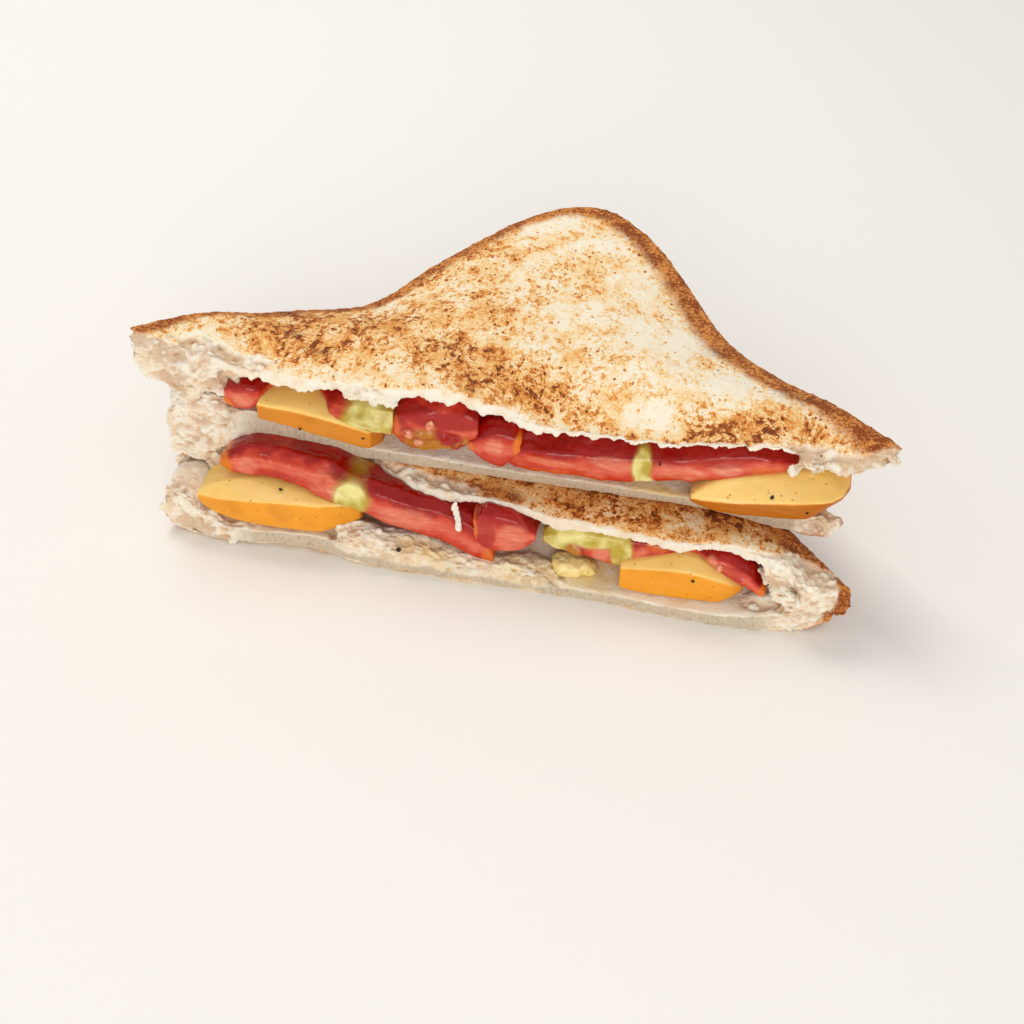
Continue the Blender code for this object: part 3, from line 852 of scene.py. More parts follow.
@dataclass(frozen=True)
class SeedFinish:
    """Tomato seeds in their clear jelly coats: pale, wet and a little see-through."""

    pale: str = "#E59A72"
    rosy: str = "#C8502E"

    def build(self) -> bpy.types.Material:
        """Make the material. Seed in jelly: bright wet bead with a cloudy inside.

        Returns:
            The finished material.
        """
        look = Look("tomato_seed")
        cloud = add_node(look.tree, "ShaderNodeTexNoise",
                         {"Vector": look.place, "Scale": 1.0 / (1.0 * MM), "Detail": 2.0,
                          "Roughness": 0.5})
        flushed = add_node(look.tree, "ShaderNodeMapRange",
                           {"Value": cloud, "From Min": 0.4, "From Max": 0.65},
                           interpolation_type="SMOOTHSTEP")
        relief = add_node(look.tree, "ShaderNodeBump",
                          {"Height": cloud, "Distance": 0.1 * MM, "Strength": 0.5})
        return look.finish(Base_Color=look.coated(self.pale, (flushed, self.rosy)),
                           Roughness=0.16, Normal=relief, Subsurface_Weight=0.3,
                           Subsurface_Radius=(1.0, 0.5, 0.4), Subsurface_Scale=1.0 * MM,
                           Coat_Weight=0.5, Coat_Roughness=0.05)


# ---------------------------------------------------------------- bread
class Toasted(Enum):
    """Which face of a half slice met the griddle."""

    UP = 1.0
    DOWN = -1.0

    @property
    def wraps(self) -> tuple[float, float]:
        """Slopes between which the browning fades; underneath it creeps up the cut a little."""
        return (0.25, 0.65) if self is Toasted.UP else (0.05, 0.40)

    @property
    def hangs(self) -> float:
        """How much crumbs hang below the cut edge: not at all where the slice lies on it."""
        return 1.0 if self is Toasted.UP else 0.0


@dataclass(frozen=True)
class Blotch:
    """A soft patch of a slice, seen from above, mm: where it is browner (or paler, if its
    strength is below zero), smeared, scorched, bared, baked or lifted."""

    x: float
    y: float
    wide: float
    deep: float
    strength: float


@dataclass
class PlanOfSlice:
    """Plan of a half slice, measured on its surface: cut line and crust line."""

    points: Array
    steps: int = 90           # places along the cut
    rays: int = 180           # directions towards the crust
    centre: Array = field(init=False)
    cut_x: Array = field(init=False)
    cut_y: Array = field(init=False)
    rim: Array = field(init=False)

    def __post_init__(self) -> None:
        """Find the tips, the line of the cut and the line of the crust."""
        left = self.points[np.argmin(self.points[:, 0])]
        right = self.points[np.argmax(self.points[:, 0])]
        self.centre = (left + right)[:2] / 2.0
        bins = np.linspace(left[0], right[0], self.steps)
        which = np.digitize(self.points[:, 0], bins)
        lows = [(bins[i], self.points[which == i, 1].min())
                for i in range(1, self.steps) if np.any(which == i)]
        self.cut_x, self.cut_y = np.array(lows).T
        offset = self.points[:, :2] - self.centre
        angle = np.arctan2(np.maximum(offset[:, 1], 0.0), offset[:, 0])
        radius = np.hypot(offset[:, 0], offset[:, 1])
        slots = np.clip((angle / math.pi * self.rays).astype(int), 0, self.rays - 1)
        reach = np.zeros(self.rays)
        np.maximum.at(reach, slots, radius)
        known = np.nonzero(reach)[0]
        turn = (known + 0.5) * math.pi / self.rays
        self.rim = self.centre + np.stack([np.cos(turn), np.sin(turn)], 1) * reach[known, None]

    def behind_cut(self, points: Array) -> Array:
        """How far each point lies behind the cut, metres."""
        return points[:, 1] - np.interp(points[:, 0], self.cut_x, self.cut_y)

    def from_crust(self, points: Array) -> Array:
        """How far each point lies in from the crust line, metres.

        Args:
            points: Places, metres.

        Returns:
            One distance for each.
        """
        best = np.full(len(points), 9.0)
        for corner in self.rim:
            best = np.minimum(best, np.hypot(points[:, 0] - corner[0], points[:, 1] - corner[1]))
        return best


@dataclass(frozen=True)
class Lump:
    """A tuft of crumb that stands out of a slice: centre and half-sizes, mm and degrees."""

    centre: tuple[float, float, float]
    half: tuple[float, float, float]
    tilt: float = 0.0         # its right end raised

    def place(self) -> Matrix:
        """Matrix that turns a unit ball into the lump."""
        return (Matrix.Translation(Vector(self.centre) * MM)
                @ Matrix.Rotation(math.radians(-self.tilt), 4, "Y")
                @ Matrix.Diagonal((Vector(self.half) * MM).to_4d()))

    def away(self, points: Array) -> Array:
        """How far out points lie, squared: 0 at its middle and 1 just outside its surface."""
        shares = (points / MM - np.array(self.centre)) / (np.array(self.half) + 0.6)
        return (shares ** 2).sum(1)


@dataclass
class BreadSlice:
    """A half slice of toasted bread with a cut or torn front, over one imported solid."""

    node: str
    toasted: Toasted
    seed: int
    torn_left: float          # how far the torn crumb runs in from the left tip, mm
    torn_right: float         # the same from the right tip, mm
    char: float               # how brown the griddled face is on the whole
    blotches: tuple[Blotch, ...] = ()
    smears: tuple[Blotch, ...] = ()
    lifts: tuple[Blotch, ...] = ()      # where the underside of the cut edge stands higher, mm
    scorches: tuple[Blotch, ...] = ()
    lumps: tuple[Lump, ...] = ()
    strip_shade: float = 1.0   # how strongly the cut strip takes its grey of painted shade
    ragged: float = 0.5       # how far crumbs hang below the cut edge, mm
    rim: float = 4.0          # width of the baked rind seen from above, mm
    bare_edge: float = 0.6    # how far behind the cut the griddled skin starts, mm
    bares: tuple[Blotch, ...] = ()      # where the griddled skin is torn off
    rinds: tuple[Blotch, ...] = ()      # where baked rind is left around torn crumb
    voxel: float = 0.55       # spacing of the finished surface, half that along the cut, mm
    tuft: float = 5.0         # width of the tufts of torn crumb, mm
    clump: float = 3.3        # width of the clumps in them, mm
    fluff: float = 1.25       # width of its loose crumbs, mm
    pore: float = 1.5         # spacing of its open pores, mm
    flake: float = 3.4        # width of the pressed flakes of the griddled face, mm

    def shaped(self) -> bpy.types.Mesh:
        """The solid with its facets rounded off, its lumps grown on, and a closer surface
        along the cut.

        Returns:
            Mesh of small faces.
        """
        bm = merged_copy(self.node)
        keep_edges(bm, 38.0, 1.0)
        mesh = bpy.data.meshes.new(self.node)
        bm.to_mesh(mesh)
        bm.free()
        mesh = plain_mesh(self.node, mesh, (("SUBSURF", {"levels": 2, "render_levels": 2}),))
        bm = bmesh.new()
        bm.from_mesh(mesh)
        for lump in self.lumps:
            bmesh.ops.create_icosphere(bm, subdivisions=3, radius=1.0, matrix=lump.place())
        bm.to_mesh(mesh)
        bm.free()
        coarser = 1.0
        spacing = self.voxel * MM * coarser
        mesh = plain_mesh(self.node, mesh, (
            ("REMESH", {"mode": "VOXEL", "voxel_size": spacing, "use_smooth_shade": True}),
            ("SMOOTH", {"factor": 0.5, "iterations": 4})))
        points, _ = read_points(mesh)
        plan = PlanOfSlice(points)
        finer_to = np.where(self.torn(points) > 0.3, 8.0, 3.6) * MM    # behind the cut
        close = plan.behind_cut(points) < finer_to
        bm = bmesh.new()
        bm.from_mesh(mesh)
        bm.verts.ensure_lookup_table()
        edges = [e for e in bm.edges if close[e.verts[0].index] and close[e.verts[1].index]]
        bmesh.ops.subdivide_edges(bm, edges=edges, cuts=1, use_grid_fill=True)
        bmesh.ops.triangulate(bm, faces=[f for f in bm.faces if len(f.verts) > 4])
        bm.to_mesh(mesh)
        bm.free()
        shade_smooth(mesh)
        return mesh

    def on_lumps(self, points: Array) -> Array:
        """How much each point belongs to one of the tufts.

        Args:
            points: Places, metres.

        Returns:
            0 to 1 for each.
        """
        grown = np.zeros(len(points))
        for lump in self.lumps:
            grown = np.maximum(grown, step(lump.away(points), 1.6, 1.1))
        return grown

    def torn(self, points: Array) -> Array:
        """How much each point belongs to the torn, puffed-up ends of the cut.

        Args:
            points: Places, metres.

        Returns:
            0 to 1 for each.
        """
        from_left = (points[:, 0] - points[:, 0].min()) / MM
        from_right = (points[:, 0].max() - points[:, 0]) / MM
        torn = np.maximum(step(from_left, self.torn_left, self.torn_left * 0.6),
                          step(from_right, self.torn_right, self.torn_right * 0.6))
        for lump in self.lumps:
            size = min(1.0, min(lump.half) / 2.4)
            torn = np.maximum(torn, step(lump.away(points), 1.5, 1.0) * size)
        return torn

    def spread(self, points: Array, patches: Sequence[Blotch]) -> Array:
        """Sum of soft patches at each point.

        Args:
            points: Places, metres.
            patches: Patches that are added up.

        Returns:
            One strength for each place.
        """
        total = np.zeros(len(points))
        for patch in patches:
            total += patch.strength * np.exp(-((points[:, 0] / MM - patch.x) / patch.wide) ** 2
                                             - ((points[:, 1] / MM - patch.y) / patch.deep) ** 2)
        return total

    def crusted(self, points: Array, behind: Array, inward: Array, griddled: Array,
                loose: Array) -> Array:
        """How much each point is baked rind: the wall all round, and a rim seen from above.

        Args:
            points: Places, metres.
            behind: How far each lies behind the cut.
            inward: How far each lies in from the crust line.
            griddled: How much each belongs to the griddled face.
            loose: How much each is torn crumb at the cut.

        Returns:
            0 to 1 for each point.
        """
        wander = rough(points, 4 * MM, self.seed + 3) * 1.2 * MM
        wall = step(inward + wander, 4.6 * MM, 3.0 * MM) * (1.0 - loose)
        wall *= step(behind, 1.0 * MM, 3.0 * MM)
        wide = self.rim * MM * (1.0 + 0.55 * step(points[:, 0], -8 * MM, 20 * MM))
        rim = step((inward + wander) / wide, 1.25, 0.75) * griddled
        rim *= step(behind + wander, -0.5 * MM, 2.0 * MM)
        return np.maximum(wall * (1.0 - griddled * 0.3), rim)

    def crumbled(self, points: Array, torn: Array) -> tuple[Array, Array]:
        """Relief of cut and torn crumb: tufts, clumps, loose crumbs and open pores.

        Args:
            points: Places, metres.
            torn: How much each is torn rather than cut.

        Returns:
            How far each point moves out, in millimetres, and how much painted shade it gets in its
            pores and in the creases between tufts.
        """
        tufts = rough(points * np.array([0.8, 1.0, 1.2]), self.tuft * MM, self.seed, 3, 0.6)
        bent = points + 0.9 * MM * rough(points, 2.6 * MM, self.seed + 2, 2)[:, None]
        near, beside, high = bubbles(bent * np.array([0.7, 1.0, 1.1]), self.clump * MM,
                                     self.seed + 3)
        clumps = step(beside - near, 0.02, 0.42) * (0.55 + 0.6 * high) - 0.55
        fluff = rough(points * np.array([0.8, 1.0, 1.2]), self.fluff * MM, self.seed + 4, 3, 0.7)
        first, _, chance = bubbles(points * np.array([0.5, 1.0, 1.4]), self.pore * MM,
                                   self.seed + 5)
        pores = step(first, 0.40, 0.12) * step(chance, 0.66, 0.8)
        push = (tufts * (0.14 + 1.60 * torn) + clumps * (0.05 + 1.10 * torn)
                + fluff * (0.16 + 0.85 * torn) - pores * (0.10 + 0.45 * torn))
        # painted shade in the creases between tufts
        deep = step(-push, 0.15, 1.0) * torn * 0.6
        return push, np.clip(deep + pores * (0.10 + 0.30 * torn), 0.0, 1.0)

    def frayed(self, points: Array, normals: Array, behind: Array) -> Array:
        """Crumbs that hang below and in front of the cut edge, and lifts of it over a filling.

        Args:
            points: Places, metres.
            normals: Their directions outwards.
            behind: How far each lies behind the cut.

        Returns:
            How far each point moves along each axis, metres.
        """
        flat = points * np.array([1.0, 0.3, 0.3])
        comb = (rough(flat, 4.6 * MM, self.seed + 25, 2) * 0.9
                + rough(flat, 1.5 * MM, self.seed + 27, 3, 0.7) * 0.7)
        edge = step(behind, 2.4 * MM, 0.3 * MM) * step(normals[:, 2], 0.45, -0.2)
        lower = edge * np.clip(comb + 0.1, -0.4, 1.0) * self.ragged * MM * 1.5
        lower *= self.toasted.hangs
        raised = self.spread(points, self.lifts) * MM * step(behind, 6 * MM, 1.5 * MM)
        raised *= step(normals[:, 2], 0.6, 0.0)
        jut = step(behind, 2.5 * MM, 0.3 * MM) * comb * self.ragged * MM * 0.6
        return np.stack([np.zeros(len(points)), -jut, raised - lower], 1)

    def kept_in(self, points: Array) -> Array:
        """Hold points in the box of the solid and its tufts, and in the whole model's box.

        Args:
            points: Places, metres.

        Returns:
            The places, none of them more than a crumb outside the solid's box.
        """
        lowest, highest = (np.array(c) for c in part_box(self.node))
        for lump in self.lumps:
            centre, half = np.array(lump.centre), np.array(lump.half)
            lowest = np.minimum(lowest, (centre - half - 0.8) * MM)
            highest = np.maximum(highest, (centre + half) * MM)
        crumb = np.array([0.3, 0.3, 0.0]) * MM
        model_low, model_high = (np.array(c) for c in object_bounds())
        lowest, highest = np.maximum(lowest - crumb, model_low), np.minimum(highest, model_high)
        return np.minimum(np.maximum(points, lowest), highest)

    def build(self, material: bpy.types.Material) -> bpy.types.Object:
        """Shape, roughen and dress the slice.

        Args:
            material: The bread's finish.

        Returns:
            The piece.
        """
        mesh = self.shaped()
        seed = self.seed
        points, normals = read_points(mesh)
        plan = PlanOfSlice(points)
        behind = plan.behind_cut(points)
        griddled = step(normals[:, 2] * self.toasted.value, *self.toasted.wraps)
        wall = 1.0 - step(np.abs(normals[:, 2]), 0.35, 0.75)
        tattered = rough(points, 3.2 * MM, seed + 51, 3, 0.6)
        griddled *= step(behind + tattered * 1.3 * MM, (self.bare_edge - 0.5) * MM,
                         (self.bare_edge + 0.5) * MM)
        bare = step(self.spread(points, self.bares) + tattered * 0.35, 0.35, 0.55)
        tufted = self.on_lumps(points)
        griddled *= (1.0 - bare) * (1.0 - tufted)
        torn = np.maximum(self.torn(points), bare * step(normals[:, 2], -0.2, 0.3))
        near_cut = np.maximum(step(behind, 7 * MM, 2.5 * MM), bare)
        inward = plan.from_crust(points)
        crust = self.crusted(points, behind, inward, griddled, near_cut * torn)
        crust = np.maximum(crust * (1.0 - tufted),
                           step(self.spread(points, self.rinds) + tattered * 0.4, 0.75, 1.15))

        open_crumb = (1.0 - griddled) * (1.0 - crust) * np.maximum(near_cut, 0.30)
        relief, pit = self.crumbled(points, torn)
        push = relief * MM * open_crumb

        # griddled face: pressed flakes standing a little proud, fine roughness and a slow sag
        _, edge_gap, level = bubbles(points * np.array([0.6, 1.0, 1.0]), self.flake * MM,
                                     seed + 13)
        flats = (level - 0.5) * 0.20 + step(edge_gap, 0.25, 0.0) * 0.08
        flats += rough(points, 1.6 * MM, seed + 17, 3) * 0.16
        sag = rough(points, 15 * MM, seed + 19, 2) * 0.40
        push += (flats + sag) * MM * griddled * (1.0 - 0.5 * crust)
        push += rough(points, 1.4 * MM, seed + 21, 3, 0.6) * 0.24 * MM * crust

        moved = points + normals * push[:, None] + self.frayed(points, normals, behind)
        write_points(mesh, self.kept_in(moved))

        char = self.char + self.spread(points, self.blotches)
        char += rough(points, 14 * MM, seed + 41, 3, 0.55) * 0.30
        char += step(inward, 10 * MM, 3 * MM) * step(points[:, 0], 10 * MM, -10 * MM) * 0.24
        write_mask(mesh, "toast", griddled)
        write_mask(mesh, "char", char)
        write_mask(mesh, "crust", crust)
        write_mask(mesh, "scorch", self.spread(points, self.scorches)
                   * np.maximum(griddled, crust))
        # painted grey shade on the cut strip of the front wall
        shaded_strip = step(behind, 1.7 * MM, 0.8 * MM) * wall * (1.0 - torn) * self.strip_shade
        write_mask(mesh, "shaded_strip", shaded_strip)
        write_mask(mesh, "smear", self.spread(points, self.smears) * (1.0 - griddled)
                   * (1.0 - shaded_strip))
        # pit mask: painted shade in pores and creases of the open crumb
        write_mask(mesh, "pit", pit * open_crumb)
        return finish_piece(self.node + "_toasted", mesh, material,
                            (self.node,))


# ---------------------------------------------------------------- fillings
@dataclass(frozen=True)
class Station:
    """One cross-section of a piece of filling, mm: foot, ridge and shoulder of its front."""

    x: float
    foot: tuple[float, float]
    ridge: tuple[float, float]
    shoulder: tuple[float, float]


@dataclass
class Filling:
    """A piece cut flat along its front, drawn through stations and back under the bread."""

    node: str
    seed: int
    stations: tuple[Station, ...]
    reach: float = 9.0        # how far back it is modelled from its shoulder, mm
    crease: float = 0.75      # how sharp the cut edges stay
    voxel: float = 0.32       # spacing of the finished surface, mm
    clear: float = 0.15       # what it keeps clear of the slice above, mm

    def ring(self, at: Station) -> list[Vector]:
        """Points round one cross-section, from the foot up and over to its thinner back.

        Args:
            at: The cross-section.

        Returns:
            Its corners, metres.
        """
        (fy, fz), (ry, rz), (sy, sz) = at.foot, at.ridge, at.shoulder
        back = sy + self.reach
        path = [(fy, fz), (ry, rz), (sy, sz), (back, sz - 0.6), (back, fz + 0.4)]
        return [Vector((at.x, y, z)) * MM for y, z in path]

    def lofted(self) -> bpy.types.Mesh:
        """Draw the piece through its stations and round its edges a little.

        Returns:
            Closed mesh of small even faces.
        """
        bm = bmesh.new()
        rings = [[bm.verts.new(p) for p in self.ring(at)] for at in self.stations]
        count = len(rings[0])
        for near, far in zip(rings, rings[1:]):
            for i in range(count):
                j = (i + 1) % count
                bm.faces.new((near[i], near[j], far[j], far[i]))
        bm.faces.new(rings[0][::-1])
        bm.faces.new(rings[-1])
        bmesh.ops.recalc_face_normals(bm, faces=bm.faces[:])
        keep_edges(bm, 24.0, self.crease)
        mesh = bpy.data.meshes.new(self.node)
        bm.to_mesh(mesh)
        bm.free()
        return plain_mesh(self.node, mesh, (
            ("SUBSURF", {"levels": 3, "render_levels": 3}),
            ("REMESH", {"mode": "VOXEL", "voxel_size": self.voxel * MM,
                        "use_smooth_shade": True}),
            ("SMOOTH", {"factor": 0.5, "iterations": 2})))

    def tucked(self, points: Array, roof: bpy.types.Object) -> Array:
        """Press points down where they would stand in the slice above.

        Args:
            points: Places, metres.
            roof: The slice above.

        Returns:
            The places, none of them inside it.
        """
        tree = BVHTree.FromPolygons([v.co for v in roof.data.vertices],
                                    [p.vertices[:] for p in roof.data.polygons])
        for point in points:
            hit = tree.ray_cast(Vector((point[0], point[1], -0.1)), Vector((0, 0, 1)))[0]
            if hit is not None:
                point[2] = min(point[2], hit.z - self.clear * MM)
        return points


@dataclass
class CheeseSlab(Filling):
    """A slab cut from a block: sharp ridge along the front and flat planes."""

    front_shade: float = 0.0         # how strongly painted shade darkens its front

    def build(self, material: bpy.types.Material, roof: bpy.types.Object) -> bpy.types.Object:
        """Loft the slab, mark it as the knife did, mask where painted light and shade go on its
        faces and dress it.

        Args:
            material: The cheese's finish.
            roof: The slice above it.

        Returns:
            The piece.
        """
        mesh = self.lofted()
        points, normals = read_points(mesh)
        wave = rough(points, 7 * MM, self.seed, 3) * 0.30
        drag = rough(points * np.array([1.0, 0.3, 0.2]), 1.1 * MM, self.seed + 4, 2) * 0.05
        first, _, chance = bubbles(points, 3.0 * MM, self.seed + 7)
        pits = step(first, 0.2, 0.05) * step(chance, 0.6, 0.7) * 0.35
        moved = points + normals * ((wave + drag - pits) * MM)[:, None]
        write_points(mesh, self.tucked(moved, roof))
        # tops take the lighter colour, painted light from above
        write_mask(mesh, "top", step(normals[:, 2], 0.15, 0.6))
        # painted shade on faces turned to the right and on the front faces
        write_mask(mesh, "end", step(normals[:, 0], 0.35, 0.75))
        write_mask(mesh, "shade", step(normals[:, 2], 0.45, 0.0) * self.front_shade)
        return finish_piece(self.node + "_slab", mesh, material, (self.node,))


@dataclass
class CheeseScrap:
    """A melted lump of pale cheese, lumpy and soft-edged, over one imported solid."""

    node: str
    seed: int = 3

    def build(self, material: bpy.types.Material) -> bpy.types.Object:
        """Soften the solid into a curdled lump and dress it.

        Args:
            material: The cheese's finish.

        Returns:
            The piece.
        """
        bm = merged_copy(self.node)
        mesh = bpy.data.meshes.new(self.node)
        bm.to_mesh(mesh)
        bm.free()
        mesh = plain_mesh(self.node, mesh, (
            ("SUBSURF", {"levels": 2, "render_levels": 2}),
            ("REMESH", {"mode": "VOXEL", "voxel_size": 0.25 * MM, "use_smooth_shade": True})))
        points, normals = read_points(mesh)
        curds = rough(points, 2.6 * MM, self.seed, 3, 0.6) * 0.9
        write_points(mesh, points + normals * (curds * MM)[:, None])
        write_mask(mesh, "top", np.ones(len(points)))
        for name in ("end", "shade"):
            write_mask(mesh, name, np.zeros(len(points)))
        return finish_piece(self.node + "_melt", mesh, material, (self.node,))


@dataclass(frozen=True)
class Spot:
    """A soft-edged zone on the front of a tomato piece. Millimetres along and up."""

    x: float
    z: float
    wide: float
    high: float
    strength: float = 1.0


@dataclass
class TomatoPiece(Filling):
    """A slice or wedge of tomato: a wet fibrous face under a glossy top darkened by painted shade.
    """

    cores: tuple[Spot, ...] = ()
    skins: tuple[Spot, ...] = ()
    gels: tuple[Spot, ...] = ()
    pales: tuple[Spot, ...] = ()
    bloods: tuple[Spot, ...] = ()
    faces: tuple[Spot, ...] = ()  # zones of the top where the painted shade is weaker and flesh shows

    def spots(self, points: Array, zones: Sequence[Spot]) -> Array:
        """Strongest of the soft zones at each point, with wandering edges.

        Args:
            points: Places, metres.
            zones: Zones that are drawn.

        Returns:
            0 to 1 for each place.
        """
        total = np.zeros(len(points))
        wander = rough(points, 2.4 * MM, self.seed + 61, 3) * 0.9
        for zone in zones:
            away = np.sqrt(((points[:, 0] / MM - zone.x) / zone.wide) ** 2
                           + ((points[:, 2] / MM - zone.z) / zone.high) ** 2)
            total = np.maximum(total, zone.strength * step(away + wander * 0.16, 1.15, 0.72))
        return total

    def build(self, material: bpy.types.Material, roof: bpy.types.Object) -> bpy.types.Object:
        """Loft, wrinkle and dress the piece.

        Args:
            material: The tomato's finish.
            roof: The slice above it.

        Returns:
            The piece.
        """
        mesh = self.lofted()
        points, normals = read_points(mesh)
        bulge = rough(points * np.array([0.7, 1.0, 1.0]), 4.4 * MM, self.seed, 3) * 0.72
        fibres = rough(points * np.array([0.2, 0.7, 1.0]), 1.2 * MM, self.seed + 5, 2) * 0.12
        dimples = rough(points, 2.0 * MM, self.seed + 9, 3) * 0.16
        gel = self.spots(points, self.gels)
        beads = rough(points, 2.8 * MM, self.seed + 15, 2) * 1.5 * gel
        push = (bulge + fibres + dimples + beads) * MM
        write_points(mesh, self.tucked(points + normals * push[:, None], roof))
        along = [at.x for at in self.stations]
        foot = np.interp(points[:, 0] / MM, along, [at.foot[1] for at in self.stations])
        ridge = np.interp(points[:, 0] / MM, along, [at.ridge[1] for at in self.stations])
        # level: 0 at the foot, 1 at the ridge and more on faces turned up; its high end is painted
        # shade of the top
        level = (points[:, 2] / MM - foot) / np.maximum(ridge - foot, 1.0)
        level += step(normals[:, 2], 0.4, 0.9) * 0.3
        level *= 1.0 - 0.45 * self.spots(points, self.faces)
        write_mask(mesh, "level", level * 0.9)
        write_mask(mesh, "core", self.spots(points, self.cores))
        write_mask(mesh, "rind", self.spots(points, self.skins))
        write_mask(mesh, "gel", gel)
        write_mask(mesh, "pale", self.spots(points, self.pales))
        write_mask(mesh, "blood", self.spots(points, self.bloods))
        return finish_piece(self.node + "_flesh", mesh, material, (self.node,))


@dataclass(frozen=True)
class Bead:
    """One drop-shaped bit, such as a seed: place, half-sizes and slant, mm and degrees."""

    centre: tuple[float, float, float]
    half: tuple[float, float, float]
    slant: float = 0.0


@dataclass
class Beads:
    """A few bits set one by one, such as the seeds that show at the cut, in one piece."""

    name: str
    beads: tuple[Bead, ...]

    def build(self, material: bpy.types.Material, slot: str) -> bpy.types.Object:
        """Shape each bit as a flattened drop and dress them all.

        Args:
            material: What they are made of.
            slot: Not used.

        Returns:
            The piece.
        """
        bm = bmesh.new()
        for bead in self.beads:
            place = (Matrix.Translation(Vector(bead.centre) * MM)
                     @ Matrix.Rotation(math.radians(bead.slant), 4, "Y")
                     @ Matrix.Diagonal((Vector(bead.half) * MM).to_4d()))
            made = bmesh.ops.create_icosphere(bm, subdivisions=3, radius=1.0)["verts"]
            for vert in made:
                drop = 1.0 - 0.28 * max(vert.co.z, 0.0)
                vert.co = place @ Vector((vert.co.x * drop, vert.co.y * drop, vert.co.z))
        mesh = bpy.data.meshes.new(self.name)
        bm.to_mesh(mesh)
        bm.free()
        shade_smooth(mesh)
        return finish_piece(self.name, mesh, material)


